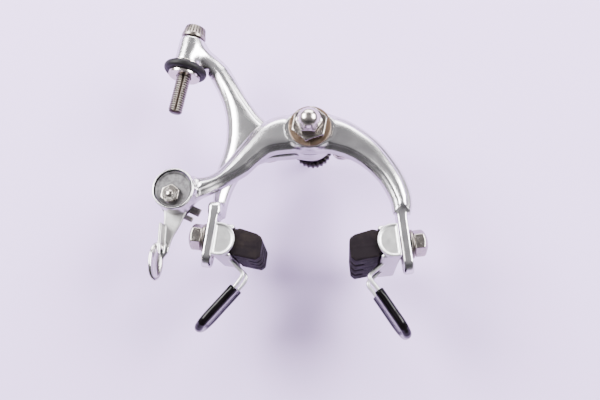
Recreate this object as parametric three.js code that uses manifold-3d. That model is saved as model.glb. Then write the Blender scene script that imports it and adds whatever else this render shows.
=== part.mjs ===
// Side-pull rim brake caliper for a road bicycle.
// Millimetres, +Z up. The centre bolt lies along Y: +Y points back into the fork crown,
// -Y is the front of the brake. X = 0, Z = 0 is the bolt's axis, and Y = 0 is the rear face
// of the serrated washer, which is what the fork crown bears on.

import * as THREE from 'three';
import { mergeVertices } from 'three/addons/utils/BufferGeometryUtils.js';
import Module from 'manifold-3d';

const wasm = await Module();
wasm.setup();

const { degToRad } = THREE.MathUtils;

// ---------------------------------------------------------------- driving dimensions

const GAP = 0.3;                    // clearance between pieces that touch on the real brake
const PAST = 1.0;                   // how far a cutting shape stands out past what it cuts

// Stack along the centre bolt, from the fork crown forwards.
const SERRATED_THICKNESS = 3.2;
const BLOCK_DEPTH = 8.0;
const THIN_WASHER = 0.8;
const BOSS_DEPTH = 8.0;
const BRONZE_THICKNESS = 1.0;
const THIN_NUT_HEIGHT = 3.0;
const ACORN_HEIGHT = 8.6;

const BLOCK_REAR = -(SERRATED_THICKNESS + GAP);
const BLOCK_FRONT = BLOCK_REAR - BLOCK_DEPTH;
const REAR_WASHER_FRONT = BLOCK_FRONT - GAP - THIN_WASHER;
const REAR_ARM_REAR = REAR_WASHER_FRONT - GAP;
const REAR_ARM_FRONT = REAR_ARM_REAR - BOSS_DEPTH;
const MIDDLE_WASHER_FRONT = REAR_ARM_FRONT - GAP - THIN_WASHER;
const FRONT_ARM_REAR = MIDDLE_WASHER_FRONT - GAP;
const FRONT_ARM_FRONT = FRONT_ARM_REAR - BOSS_DEPTH;
const BRONZE_FRONT = FRONT_ARM_FRONT - GAP - BRONZE_THICKNESS;
const THIN_NUT_FRONT = BRONZE_FRONT - GAP - THIN_NUT_HEIGHT;
const ACORN_REAR = THIN_NUT_FRONT - GAP;

// Centre bolt, its nuts and washers.
const BOLT_RADIUS = 3.0;
const BOLT_REAR_LENGTH = 13.0;
const BOLT_INTO_ACORN = 5.5;
const BOLT_CHAMFER = 0.6;
const BOLT_HOLE_RADIUS = BOLT_RADIUS + GAP;
const WASHER_RADIUS = 9.2;
const SERRATED = { radius: 9.0, teeth: 24, toothDepth: 0.9 };
const THIN_NUT = { flats: 14.0, turn: degToRad(10) };
const ACORN = { flats: 10.0, collar: 3.6, domeRadius: 4.9, boreDepth: 6.0, turn: degToRad(33) };

// Spring block and return spring.
const BLOCK = { radius: 7.0, crownHalfWidth: 4.5, crownTop: 10.2, grooveHalf: 1.4, grooveDepth: 2.2 };
const SPRING = {
  wire: 0.9,
  coilX: 13.6,
  coilZ: -3.0,
  coilRadius: 3.8,
  coilTurns: 1.25,
  yFront: -10.9,
  yRear: -8.4,
  top: 8.4,
  endX: 25.6,
  endZ: -6.0,
  bow: [[22.4, -8.2], [18.6, -8.6]],
  shoulder: [[9.0, 0.6], [7.0, 5.2], [3.6, 8.4]],
  rightEndY: -17.4,
};
const PEG_RADIUS = 1.5;
const PEG_DEPTH = 3.0;
const PEGS = {
  rear: { x: -25.6, z: -3.0, root: REAR_ARM_REAR - PEG_DEPTH, tip: -8.8 },
  front: { x: 25.6, z: -3.0, root: FRONT_ARM_REAR - PEG_DEPTH, tip: -15.4 },
};

// Arms: flat outlines in the XZ plane, as a start point and runs of points.
const BOSS_RADIUS = 9.6;
const ARM_BEVEL = 1.8;
const FRONT_ARM_START = [-48.5, -22.6];
const FRONT_ARM_RUNS = [
  [[-42.6, -21.2], [-38.2, -17.6], [-30.7, -8.8], [-23.4, 0.0], [-16.2, 4.9], [-8, 6.6]],
  [[0, 7]],
  [[8, 6.4], [17.6, 2.4], [27.0, -4.6], [33.4, -11.8], [39.2, -21.4], [42.4, -30.0]],
  [[43.0, -35.5]],
  [[42.0, -39.6]],
  [[35.2, -39.6]],
  [[34.4, -33.6]],
  [[32.0, -28.0], [28.4, -22.6], [22.8, -16.8], [16.0, -12.6], [9.2, -10.0]],
  [[0, -9.2]],
  [[-9.2, -10.0], [-16.9, -11.2], [-22.4, -15.2], [-27.6, -20.2], [-33.4, -23.8], [-41, -28.2]],
  [[-48.5, -32.0]],
];
const REAR_ARM_START = [-53.0, 39.2];
const REAR_ARM_RUNS = [
  [[-49.6, 36.4], [-46.2, 29.4], [-42.2, 20.4], [-39.4, 10.6], [-38.6, 1.6], [-39.6, -6.6],
    [-41.8, -14.4], [-43.0, -24.0], [-43.0, -37.0]],
  [[-37.8, -37.0]],
  [[-36.2, -28.0], [-33.0, -20.0], [-28.4, -14.4], [-20.4, -10.8], [-9.2, -9.4], [0, -8.4]],
  [[0, 7.6]],
  [[-9.2, 5.0], [-16.6, 5.0], [-23.0, 8.4], [-29.4, 17.0], [-39.2, 32.0], [-46.2, 40.4],
    [-53.0, 46.0]],
];
const KNEE = { x0: -43.2, x1: -37.0, z0: -38.4, z1: -32.6, forward: 7.0 };

// Legs and brake shoes.
const LEG_LEAN = degToRad(6.5);
const LEG_THICKNESS = 4.2;
const LEG_WIDTH = 11.0;
const LEG_PLANE = -22.6;
const LEG_TOP = 13.5;
const SLOT_WIDTH = 6.6;
const SLOT_TRAVEL = 5.2;
const LEG_END = SLOT_TRAVEL + SLOT_WIDTH / 2 + 4.0;
const SHOES = {
  left: { side: -1, x: -42.0, z: -47.8, yaw: degToRad(4.5), tilt: degToRad(4.0) },
  right: { side: 1, x: 40.0, z: -50.0, yaw: 0.0, tilt: 0.0 },
};
const STUD_RADIUS = 3.0;
const STUD_END = 6.2;
const SHOE_NUT = { flats: 10.0, length: 5.8, domeRadius: 9.4, closedEnd: 1.2 };
const SHOE_WASHER_RADIUS = 6.0;
const OUTER_WASHER_THICKNESS = 1.0;
const INNER_WASHER_THICKNESS = 1.6;
const HOLDER_LENGTH = 46.0;
const HOLDER_HALF_HEIGHT = 6.5;
const HOLDER_WALL = 1.6;
const HOLDER_BACK_WALL = 2.0;
const HOLDER_CORNER = 1.2;
const HOLDER_BACK = -(LEG_THICKNESS / 2 + 2 * GAP + INNER_WASHER_THICKNESS);
const HOLDER_LIP = -12.0;
const HOLDER_BOSS = { radius: 5.2, height: 0.8 };
const END_PLATE = { reach: -12.8, thickness: 1.5, corner: 1.0 };
const PAD_DROP = 2.5;
const PAD_FACE = -23.5;
const PAD_REAR_OVERHANG = 0.8;
const PAD_GROOVE = { width: 2.0, depth: 5.0, count: 3 };
// The pad's nose, from the holder's upper lip round the braking face to its lower lip.
const PAD_NOSE = [
  [-14.1, 5.5], [-21.1, 4.2], [-22.9, 3.2], [PAD_FACE, 2.0], [PAD_FACE, -4.6], [-21.9, -6.2],
  [-12.7, -5.5],
];

// Wheel guides: one bent wire in a moulded sleeve. Points are outboard and height.
const GUIDES = {
  left: { start: [-10.0, -7.9], knee: [-17.0, -13.8], mouth: [-13.9, -19.4], tip: [-1.6, -37.4] },
  right: { start: [-10.0, -7.9], knee: [-17.2, -13.2], mouth: [-13.9, -18.8], tip: [-4.6, -36.6] },
};
const GUIDE_SPREAD = 9.5;
const GUIDE_BEND = { outer: 4.8, inner: 1.6, narrowing: [2.2, 5.4] };
const GUIDE_KNEE_ROUND = 1.3;
const GUIDE_WIRE_RADIUS = 0.95;
const GUIDE_SLEEVE_RADIUS = 1.9;
const GUIDE_WEB = { thickness: 2.2, shortBy: 2.4 };
const GUIDE_STEPS = 44;

// Cable adjuster on the rear arm. Heights are along the barrel from the eye's middle.
const ADJUSTER = { x: -57.0, z: 40.6, y: -22.6, lean: degToRad(9.4) };
const EYE = { radius: 5.8, half: 6.0 };
const BARREL = { radius: 3.2, tip: -30.5, chamfer: 0.6 };
const BARREL_HEAD = { base: 6.9, rim: 8.1, top: 12.6, baseRadius: 5.5, rimRadius: 5.7, topRadius: 4.7 };
const CABLE_HOLE_RADIUS = 1.3;
const HOUSING_SOCKET = { radius: 2.7, depth: 4.0 };
const KEYWAY = { halfWidth: 0.6, depth: 0.9, top: -7.0 };
const GRIP = { inner: 6.4, outer: 9.9, thickness: 3.6, round: 1.1 };
const NUT_FLANGE = { radius: 7.4, top: 0.9, bottom: 1.4, chamfer: 0.3 };

// Quick release and cable clamp on the front arm.
const DRUM = { x: -57.6, z: -28.2, radius: 9.2, bore: 8.2, front: -32.6, rear: -23.2 };
const CAM = { radius: DRUM.bore - GAP, front: -31.6 };
const CLAMP = { x: DRUM.x - 0.8, z: DRUM.z - 2.5 };
const CLAMP_BOLT = { radius: 1.9, flats: 7.4, head: 1.6, stub: 2.4, past: 1.0, turn: degToRad(8) };
const LEVER_THICKNESS = 1.6;
const LEVER_REAR = DRUM.rear + GAP + LEVER_THICKNESS;
const LEVER_START = [DRUM.x - 7.0, DRUM.z];
const LEVER_RUNS = [
  [[DRUM.x - 5.0, DRUM.z + 5.0], [DRUM.x, DRUM.z + 7.0], [DRUM.x + 5.0, DRUM.z + 5.0],
    [DRUM.x + 7.0, DRUM.z]],
  [[DRUM.x + 4.6, DRUM.z - 6.6], [DRUM.x + 1.6, -42.0], [DRUM.x - 1.2, -47.6],
    [DRUM.x - 2.8, -54.0]],
  [[DRUM.x - 4.2, -56.0]],
  [[DRUM.x - 5.9, -54.0]],
  [[DRUM.x - 5.9, -45.0], [DRUM.x - 5.6, -38.0], [DRUM.x - 7.0, DRUM.z]],
];
const LEVER_FLANGE = { x0: DRUM.x - 6.1, x1: DRUM.x - 4.6, forward: 7.0, z0: -56.0, z1: -42.0 };
const DISH = {
  x: DRUM.x - 6.7,
  forward: 4.4,
  z: -58.4,
  across: 5.0,
  tall: 8.2,
  wall: 1.6,
  turn: degToRad(-18),
};
const DISH_HOLLOW = { deep: 1.1, across: 3.9, tall: 7.0 };
const CLAMP_SHEET = 1.4;
const CLAMP_WASHER = { radius: 7.4, front: LEVER_REAR + GAP };
const CLAMP_PLATE = { radius: 5.6, front: CLAMP_WASHER.front + CLAMP_SHEET + GAP, turn: degToRad(24) };
const CLAMP_PRONGS = [
  { x: 11.2, z0: -2.2, z1: 1.4 },
  { x: 9.6, z0: -5.6, z1: -3.4 },
];
const CLAMP_NUT = { flats: 8.0, front: CLAMP_PLATE.front + CLAMP_SHEET + GAP, height: 3.6 };
CLAMP_NUT.rear = CLAMP_NUT.front + CLAMP_NUT.height;

// ---------------------------------------------------------------- geometry helpers

const BEVEL_SEGMENTS = 2;
const ARM_CURVE_SEGMENTS = 2;

const MERGE_TOLERANCE = 1e-4;

function weldedCopy(geometry) {
  const copy = geometry.clone();
  copy.deleteAttribute('normal');
  if (copy.attributes.uv) copy.deleteAttribute('uv');
  return mergeVertices(copy, MERGE_TOLERANCE);
}

function solid(geometry) {
  const merged = weldedCopy(geometry);
  return new wasm.Manifold(new wasm.Mesh({
    numProp: 3,
    vertProperties: new Float32Array(merged.attributes.position.array),
    triVerts: new Uint32Array(merged.index.array),
  }));
}

function geometryOf(manifold) {
  const mesh = manifold.getMesh();
  const geometry = new THREE.BufferGeometry();
  geometry.setAttribute('position', new THREE.BufferAttribute(mesh.vertProperties, 3));
  geometry.setIndex(new THREE.BufferAttribute(mesh.triVerts, 1));
  geometry.computeVertexNormals();
  return geometry;
}

function combine(base, added, removed = []) {
  let result = solid(base);
  added.forEach((piece) => { result = result.add(solid(piece)); });
  removed.forEach((piece) => { result = result.subtract(solid(piece)); });
  return geometryOf(result);
}

// Swaps left and right and turns the faces back outwards.
function mirrored(geometry) {
  const copy = weldedCopy(geometry);
  copy.scale(-1, 1, 1);
  const index = copy.index.array;
  for (let i = 0; i < index.length; i += 3) {
    const first = index[i];
    index[i] = index[i + 1];
    index[i + 1] = first;
  }
  copy.computeVertexNormals();
  return copy;
}

// A cylinder along Y between two planes.
function rodY(radius, yFront, yRear, sides = 32, x = 0, z = 0) {
  const geometry = new THREE.CylinderGeometry(radius, radius, yRear - yFront, sides);
  return geometry.translate(x, (yFront + yRear) / 2, z);
}

// A cylinder along X between two planes.
function rodX(radius, xFrom, xTo, sides = 32, y = 0, z = 0) {
  const geometry = new THREE.CylinderGeometry(radius, radius, xTo - xFrom, sides);
  geometry.rotateZ(-Math.PI / 2);
  return geometry.translate((xFrom + xTo) / 2, y, z);
}

function box(x0, x1, y0, y1, z0, z1) {
  const geometry = new THREE.BoxGeometry(x1 - x0, y1 - y0, z1 - z0);
  return geometry.translate((x0 + x1) / 2, (y0 + y1) / 2, (z0 + z1) / 2);
}

// A flat outline in the XZ plane, made into a plate between two Y planes.
function plateXZ(shape, yFront, yRear, bevel = 0, curveSegments = 5) {
  const geometry = new THREE.ExtrudeGeometry(shape, {
    depth: yRear - yFront - 2 * bevel,
    bevelEnabled: bevel > 0,
    bevelThickness: bevel,
    bevelSize: bevel,
    bevelOffset: -bevel,
    bevelSegments: BEVEL_SEGMENTS,
    curveSegments,
  });
  geometry.rotateX(Math.PI / 2);
  return geometry.translate(0, yRear - bevel, 0);
}

// An outline in the XZ plane, extruded along Y and centred on Y = 0.
function barY(shape, length, curveSegments = 5) {
  return plateXZ(shape, -length / 2, length / 2, 0, curveSegments);
}

function spunY(profile, sides = 40) {
  const points = profile.map(([radius, y]) => new THREE.Vector2(radius, y));
  return new THREE.LatheGeometry(points, sides);
}

function hexagonalPrism(acrossFlats, yFront, yRear) {
  return rodY(acrossFlats / Math.sqrt(3), yFront, yRear, 6);
}

function closedShape(points) {
  return new THREE.Shape(points.map(([x, z]) => new THREE.Vector2(x, z)));
}

// An outline made of straight stretches and smooth runs; each run is a list of points.
function outline(start, runs) {
  const shape = new THREE.Shape();
  shape.moveTo(...start);
  runs.forEach((run) => {
    if (run.length === 1) {
      shape.lineTo(...run[0]);
    } else {
      shape.splineThru(run.map(([x, z]) => new THREE.Vector2(x, z)));
    }
  });
  return shape;
}

function sweep(curve, radius, steps, sides = 8) {
  const section = new THREE.Shape();
  for (let i = 0; i < sides; i += 1) {
    const angle = (i * 2 * Math.PI) / sides;
    const x = radius * Math.cos(angle);
    const y = radius * Math.sin(angle);
    if (i === 0) section.moveTo(x, y);
    else section.lineTo(x, y);
  }
  return new THREE.ExtrudeGeometry(section, { steps, bevelEnabled: false, extrudePath: curve });
}

// ---------------------------------------------------------------- materials

const finishes = {
  aluminium: [0xd4d3d8, 0.22, 1.0],
  satin_aluminium: [0xb9b8bd, 0.42, 1.0],
  chrome: [0xdcdadb, 0.08, 1.0],
  steel: [0x8d8a8a, 0.35, 1.0],
  dark_steel: [0x3f3a3b, 0.45, 1.0],
  bronze: [0x6d4f38, 0.4, 1.0],
  grey_disc: [0x8f8e96, 0.55, 0.6],
  nylon: [0xe9e6df, 0.5, 0.0],
  rubber: [0x2b2529, 0.75, 0.0],
  plastic: [0x1e1a1e, 0.25, 0.0],
};

function mesh(name, geometry, finish) {
  const [color, roughness, metalness] = finishes[finish];
  const material = new THREE.MeshStandardMaterial({ color, roughness, metalness });
  const item = new THREE.Mesh(geometry, material);
  item.name = name;
  return item;
}

// ---------------------------------------------------------------- centre bolt and its stack

function boltHole(yFront, yRear) {
  return rodY(BOLT_HOLE_RADIUS, yFront - PAST, yRear + PAST, 24);
}

function washerAt(name, radius, yFront, thickness, finish) {
  const yRear = yFront + thickness;
  const ring = combine(rodY(radius, yFront, yRear, 40), [], [boltHole(yFront, yRear)]);
  return mesh(name, ring, finish);
}

function centreBolt() {
  const front = ACORN_REAR - BOLT_INTO_ACORN;
  const profile = [
    [0, front],
    [BOLT_RADIUS, front],
    [BOLT_RADIUS, BOLT_REAR_LENGTH - BOLT_CHAMFER],
    [BOLT_RADIUS - BOLT_CHAMFER, BOLT_REAR_LENGTH],
    [0, BOLT_REAR_LENGTH],
  ];
  return mesh('centre_bolt', spunY(profile, 24), 'steel');
}

function serratedWasher() {
  const rim = [];
  for (let i = 0; i < 2 * SERRATED.teeth; i += 1) {
    const angle = (i * Math.PI) / SERRATED.teeth;
    const radius = SERRATED.radius - (i % 2) * SERRATED.toothDepth;
    rim.push([radius * Math.cos(angle), radius * Math.sin(angle)]);
  }
  const disc = plateXZ(closedShape(rim), -SERRATED_THICKNESS, 0);
  const geometry = combine(disc, [], [boltHole(-SERRATED_THICKNESS, 0)]);
  return mesh('serrated_washer', geometry, 'dark_steel');
}

// The block that carries the return spring, with a groove over its top for the wire.
function springBlock() {
  const body = rodY(BLOCK.radius, BLOCK_FRONT, BLOCK_REAR, 36);
  const half = BLOCK.crownHalfWidth;
  const crown = box(-half, half, BLOCK_FRONT, BLOCK_REAR, 0, BLOCK.crownTop);
  const groove = box(-2 * half, 2 * half, SPRING.yRear - BLOCK.grooveHalf,
    SPRING.yRear + BLOCK.grooveHalf, SPRING.top - BLOCK.grooveDepth, BLOCK.crownTop + PAST);
  const hole = boltHole(BLOCK_FRONT, BLOCK_REAR);
  return mesh('spring_block', combine(body, [crown], [hole, groove]), 'dark_steel');
}

// One side of the return spring, from the end on its peg, under and round the coil, and up
// to the top of the block.
function springHalf(side, endY) {
  const halfway = (endY + SPRING.yFront) / 2;
  const points = [[SPRING.endX, endY, SPRING.endZ]];
  SPRING.bow.forEach(([x, z]) => points.push([x, halfway, z]));
  const steps = 18;
  for (let i = 0; i <= steps; i += 1) {
    const share = i / steps;
    const angle = -Math.PI / 2 - share * SPRING.coilTurns * 2 * Math.PI;
    points.push([
      SPRING.coilX + SPRING.coilRadius * Math.cos(angle),
      SPRING.yFront + share * (SPRING.yRear - SPRING.yFront),
      SPRING.coilZ + SPRING.coilRadius * Math.sin(angle),
    ]);
  }
  SPRING.shoulder.forEach(([x, z]) => points.push([x, SPRING.yRear, z]));
  return points.map(([x, y, z]) => new THREE.Vector3(side * x, y, z));
}

function returnSpring() {
  const left = springHalf(-1, SPRING.yFront);
  const right = springHalf(1, SPRING.rightEndY).reverse();
  const curve = new THREE.CatmullRomCurve3([...left, ...right], false, 'centripetal');
  return mesh('return_spring', sweep(curve, SPRING.wire, 96, 7), 'chrome');
}

function thinNut() {
  const rear = THIN_NUT_FRONT + THIN_NUT_HEIGHT;
  const nut = hexagonalPrism(THIN_NUT.flats, THIN_NUT_FRONT, rear);
  nut.rotateY(THIN_NUT.turn);
  return mesh('adjusting_nut', combine(nut, [], [boltHole(THIN_NUT_FRONT, rear)]), 'chrome');
}

function acornNut() {
  const shoulder = ACORN_REAR - ACORN.collar;
  const hex = hexagonalPrism(ACORN.flats, shoulder, ACORN_REAR);
  hex.rotateY(ACORN.turn);
  const domeHeight = ACORN_HEIGHT - ACORN.collar;
  const inside = ACORN_REAR - PAST;
  const dome = [];
  const steps = 6;
  for (let i = 0; i <= steps; i += 1) {
    const angle = (i / steps) * (Math.PI / 2);
    dome.push([ACORN.domeRadius * Math.sin(angle), shoulder - domeHeight * Math.cos(angle)]);
  }
  dome.push([ACORN.domeRadius, inside], [0, inside]);
  const bore = rodY(BOLT_HOLE_RADIUS, ACORN_REAR - ACORN.boreDepth, ACORN_REAR + PAST, 24);
  return mesh('acorn_nut', combine(hex, [spunY(dome, 32)], [bore]), 'chrome');
}

// ---------------------------------------------------------------- arms

// Places a shoe-sized group at a leg: leaning out at the foot, and turned by its yaw.
function legMatrix(shoe) {
  const matrix = new THREE.Matrix4().makeTranslation(shoe.x, LEG_PLANE, shoe.z);
  matrix.multiply(new THREE.Matrix4().makeRotationY(-shoe.side * LEG_LEAN));
  matrix.multiply(new THREE.Matrix4().makeRotationZ(-shoe.side * shoe.yaw));
  return matrix;
}

// Stands a flat outline up in a leg: its X becomes the brake's depth, its thickness X.
function uprightPlate(shape, thickness, curveSegments, shoe) {
  const plate = new THREE.ExtrudeGeometry(shape, {
    depth: thickness, bevelEnabled: false, curveSegments,
  });
  plate.rotateX(Math.PI / 2);
  plate.rotateZ(Math.PI / 2);
  plate.translate(-thickness / 2, 0, 0);
  return plate.applyMatrix4(legMatrix(shoe));
}

function legSolid(shoe) {
  const half = LEG_WIDTH / 2;
  const shape = new THREE.Shape();
  shape.moveTo(-half, LEG_TOP);
  shape.lineTo(-half, -LEG_END + half);
  shape.absarc(0, -LEG_END + half, half, Math.PI, 2 * Math.PI, false);
  shape.lineTo(half, LEG_TOP);
  return uprightPlate(shape, LEG_THICKNESS, 10, shoe);
}

function slotCut(shoe) {
  const radius = SLOT_WIDTH / 2;
  const slot = new THREE.Shape();
  slot.moveTo(radius, SLOT_TRAVEL);
  slot.absarc(0, SLOT_TRAVEL, radius, 0, Math.PI, false);
  slot.absarc(0, -SLOT_TRAVEL, radius, Math.PI, 2 * Math.PI, false);
  return uprightPlate(slot, LEG_THICKNESS + 2 * PAST, 8, shoe);
}

function pegHole(peg) {
  return rodY(PEG_RADIUS + GAP, peg.root - GAP, peg.tip + BOSS_DEPTH, 16, peg.x, peg.z);
}

function springPeg(name, peg) {
  return mesh(name, rodY(PEG_RADIUS, peg.root, peg.tip, 16, peg.x, peg.z), 'nylon');
}

// The front arm: quick-release drum on the left, right-hand shoe leg on the right.
function frontArm() {
  const limb = outline(FRONT_ARM_START, FRONT_ARM_RUNS);
  const plate = plateXZ(limb, FRONT_ARM_FRONT, FRONT_ARM_REAR, ARM_BEVEL, ARM_CURVE_SEGMENTS);
  const boss = rodY(BOSS_RADIUS, FRONT_ARM_FRONT, FRONT_ARM_REAR, 44);
  const drum = rodY(DRUM.radius, DRUM.front, DRUM.rear, 44, DRUM.x, DRUM.z);
  const camBore = rodY(DRUM.bore, DRUM.front - PAST, DRUM.rear + PAST, 40, DRUM.x, DRUM.z);
  const geometry = combine(plate, [boss, drum, legSolid(SHOES.right)], [
    boltHole(FRONT_ARM_FRONT, FRONT_ARM_REAR),
    camBore,
    slotCut(SHOES.right),
    pegHole(PEGS.front),
  ]);
  return mesh('front_arm', geometry, 'aluminium');
}

// The rear arm: cable adjuster at the upper left, left-hand shoe leg below it.
function rearArm() {
  const limb = outline(REAR_ARM_START, REAR_ARM_RUNS);
  const plate = plateXZ(limb, REAR_ARM_FRONT, REAR_ARM_REAR, ARM_BEVEL, ARM_CURVE_SEGMENTS);
  const boss = rodY(BOSS_RADIUS, REAR_ARM_FRONT, REAR_ARM_REAR, 44);
  const eye = upright(EYE.radius, 2 * EYE.half, 32);
  const knee = box(KNEE.x0, KNEE.x1, REAR_ARM_FRONT - KNEE.forward, REAR_ARM_FRONT + ARM_BEVEL,
    KNEE.z0, KNEE.z1);
  const eyeBore = upright(BARREL.radius + GAP, 2 * (EYE.half + PAST), 24);
  const geometry = combine(plate, [boss, alongBarrel(eye), knee, legSolid(SHOES.left)], [
    boltHole(REAR_ARM_FRONT, REAR_ARM_REAR),
    alongBarrel(eyeBore),
    slotCut(SHOES.left),
    pegHole(PEGS.rear),
  ]);
  return mesh('rear_arm', geometry, 'aluminium');
}

// ---------------------------------------------------------------- cable adjuster

// Turns a piece whose axis is Y onto the barrel's leaning axis, +Y becoming up.
function alongBarrel(geometry) {
  geometry.rotateX(Math.PI / 2);
  geometry.rotateY(ADJUSTER.lean);
  return geometry.translate(ADJUSTER.x, ADJUSTER.y, ADJUSTER.z);
}

function upright(radius, height, sides) {
  return new THREE.CylinderGeometry(radius, radius, height, sides);
}

function adjusterBarrel() {
  const profile = [
    [0, BARREL.tip],
    [BARREL.radius - BARREL.chamfer, BARREL.tip],
    [BARREL.radius, BARREL.tip + BARREL.chamfer],
    [BARREL.radius, BARREL_HEAD.base],
    [BARREL_HEAD.baseRadius, BARREL_HEAD.base],
    [BARREL_HEAD.rimRadius, BARREL_HEAD.rim],
    [BARREL_HEAD.topRadius, BARREL_HEAD.top],
    [0, BARREL_HEAD.top],
  ];
  const cableHole = upright(CABLE_HOLE_RADIUS, 4 * BARREL_HEAD.top - 2 * BARREL.tip, 16);
  const socket = upright(HOUSING_SOCKET.radius, 2 * HOUSING_SOCKET.depth, 24);
  socket.translate(0, BARREL_HEAD.top, 0);
  const keyway = box(-KEYWAY.halfWidth, KEYWAY.halfWidth, BARREL.tip - PAST, KEYWAY.top,
    -BARREL.radius - PAST, -BARREL.radius + KEYWAY.depth);
  const geometry = combine(spunY(profile, 24), [], [cableHole, socket, keyway]);
  return mesh('adjuster_barrel', alongBarrel(geometry), 'steel');
}

const NUT_TOP = -(EYE.half + GAP);
const GRIP_TOP = NUT_TOP - NUT_FLANGE.top - GAP;
const GRIP_BOTTOM = GRIP_TOP - GRIP.thickness;

function adjusterNut() {
  const bore = BARREL.radius + GAP;
  const shelf = GRIP_BOTTOM - GAP;
  const bottom = shelf - NUT_FLANGE.bottom;
  const profile = [
    [bore, NUT_TOP],
    [bore, bottom],
    [NUT_FLANGE.radius - NUT_FLANGE.chamfer, bottom],
    [NUT_FLANGE.radius, shelf],
    [GRIP.inner, shelf],
    [GRIP.inner, NUT_TOP - NUT_FLANGE.top],
    [NUT_FLANGE.radius, NUT_TOP - NUT_FLANGE.top],
    [NUT_FLANGE.radius, NUT_TOP],
    [bore, NUT_TOP],
  ];
  return mesh('adjuster_nut', alongBarrel(spunY(profile, 32)), 'steel');
}

function gripRing() {
  const inner = GRIP.inner + GAP;
  const profile = [
    [inner, GRIP_TOP],
    [inner, GRIP_BOTTOM],
    [GRIP.outer - GRIP.round, GRIP_BOTTOM],
    [GRIP.outer, GRIP_BOTTOM + GRIP.round],
    [GRIP.outer, GRIP_TOP - GRIP.round],
    [GRIP.outer - GRIP.round, GRIP_TOP],
    [inner, GRIP_TOP],
  ];
  return mesh('adjuster_grip_ring', alongBarrel(spunY(profile, 40)), 'rubber');
}

// ---------------------------------------------------------------- quick release and clamp

function clampHole(yFront, yRear, x = CLAMP.x, z = CLAMP.z) {
  return rodY(CLAMP_BOLT.radius + GAP, yFront - PAST, yRear + PAST, 20, x, z);
}

function camDisc() {
  const disc = rodY(CAM.radius, CAM.front, DRUM.rear, 40, DRUM.x, DRUM.z);
  return mesh('cam_disc', combine(disc, [], [clampHole(CAM.front, DRUM.rear)]), 'grey_disc');
}

// The lever plate hangs behind the drum; its edge turns forwards and ends in a thumb dish.
function quickReleaseLever() {
  const plate = outline(LEVER_START, LEVER_RUNS);
  const front = LEVER_REAR - LEVER_THICKNESS;
  const web = plateXZ(plate, front, LEVER_REAR, 0, 6);
  const flange = box(LEVER_FLANGE.x0, LEVER_FLANGE.x1, LEVER_REAR - LEVER_FLANGE.forward,
    LEVER_REAR, LEVER_FLANGE.z0, LEVER_FLANGE.z1);
  const geometry = combine(web, [flange, thumbDish()], [clampHole(front, LEVER_REAR)]);
  return mesh('quick_release_lever', geometry, 'satin_aluminium');
}

function thumbDish() {
  const dish = new THREE.CylinderGeometry(1, 1, DISH.wall, 28);
  dish.scale(DISH.across, 1, DISH.tall);
  dish.rotateZ(Math.PI / 2);
  const hollow = new THREE.SphereGeometry(1, 20, 12);
  hollow.scale(DISH_HOLLOW.deep, DISH_HOLLOW.across, DISH_HOLLOW.tall);
  hollow.translate(DISH_HOLLOW.deep, 0, 0);
  const geometry = combine(dish, [], [hollow]);
  geometry.rotateZ(DISH.turn);
  return geometry.translate(DISH.x, LEVER_REAR - DISH.forward, DISH.z);
}

function clampBolt() {
  const tip = CAM.front - CLAMP_BOLT.stub;
  const end = CLAMP_NUT.rear + CLAMP_BOLT.past;
  const headRear = CAM.front - GAP;
  const shank = rodY(CLAMP_BOLT.radius, tip, end, 20);
  const head = hexagonalPrism(CLAMP_BOLT.flats, headRear - CLAMP_BOLT.head, headRear);
  head.rotateY(CLAMP_BOLT.turn);
  const geometry = combine(shank, [head]).translate(CLAMP.x, 0, CLAMP.z);
  return mesh('cable_clamp_bolt', geometry, 'chrome');
}

function clampWasher() {
  const rear = CLAMP_WASHER.front + CLAMP_SHEET;
  const disc = rodY(CLAMP_WASHER.radius, CLAMP_WASHER.front, rear, 36, CLAMP.x, CLAMP.z);
  const geometry = combine(disc, [], [clampHole(CLAMP_WASHER.front, rear)]);
  return mesh('cable_clamp_washer', geometry, 'dark_steel');
}

// A forked plate that presses the cable against the washer.
function clampPlate() {
  const { front } = CLAMP_PLATE;
  const rear = front + CLAMP_SHEET;
  const disc = rodY(CLAMP_PLATE.radius, front, rear, 30);
  const prongs = CLAMP_PRONGS.map(({ x, z0, z1 }) => box(0, x, front, rear, z0, z1));
  const geometry = combine(disc, prongs, [clampHole(front, rear, 0, 0)]);
  geometry.rotateY(CLAMP_PLATE.turn);
  geometry.translate(CLAMP.x, 0, CLAMP.z);
  return mesh('cable_clamp_plate', geometry, 'dark_steel');
}

function clampNut() {
  const nut = hexagonalPrism(CLAMP_NUT.flats, CLAMP_NUT.front, CLAMP_NUT.rear);
  const geometry = combine(nut, [], [clampHole(CLAMP_NUT.front, CLAMP_NUT.rear, 0, 0)]);
  return mesh('cable_clamp_nut', geometry.translate(CLAMP.x, 0, CLAMP.z), 'steel');
}

// ---------------------------------------------------------------- brake shoes
// Shoe pieces are drawn for the right-hand side: X is outboard from the middle of the leg,
// Y is along the rim and Z is up the leg. The left-hand side is the mirror image.

function holderSection() {
  const top = HOLDER_HALF_HEIGHT;
  const inside = top - HOLDER_WALL;
  const floor = HOLDER_BACK - HOLDER_BACK_WALL;
  return closedShape([
    [HOLDER_BACK, HOLDER_CORNER - top],
    [HOLDER_BACK, top - HOLDER_CORNER],
    [HOLDER_BACK - HOLDER_CORNER, top],
    [HOLDER_LIP + HOLDER_WALL, top],
    [HOLDER_LIP + HOLDER_WALL / 2, inside],
    [floor, inside],
    [floor, -inside],
    [HOLDER_LIP, -inside],
    [HOLDER_LIP, -top],
    [HOLDER_BACK - HOLDER_CORNER, -top],
  ]);
}

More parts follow.
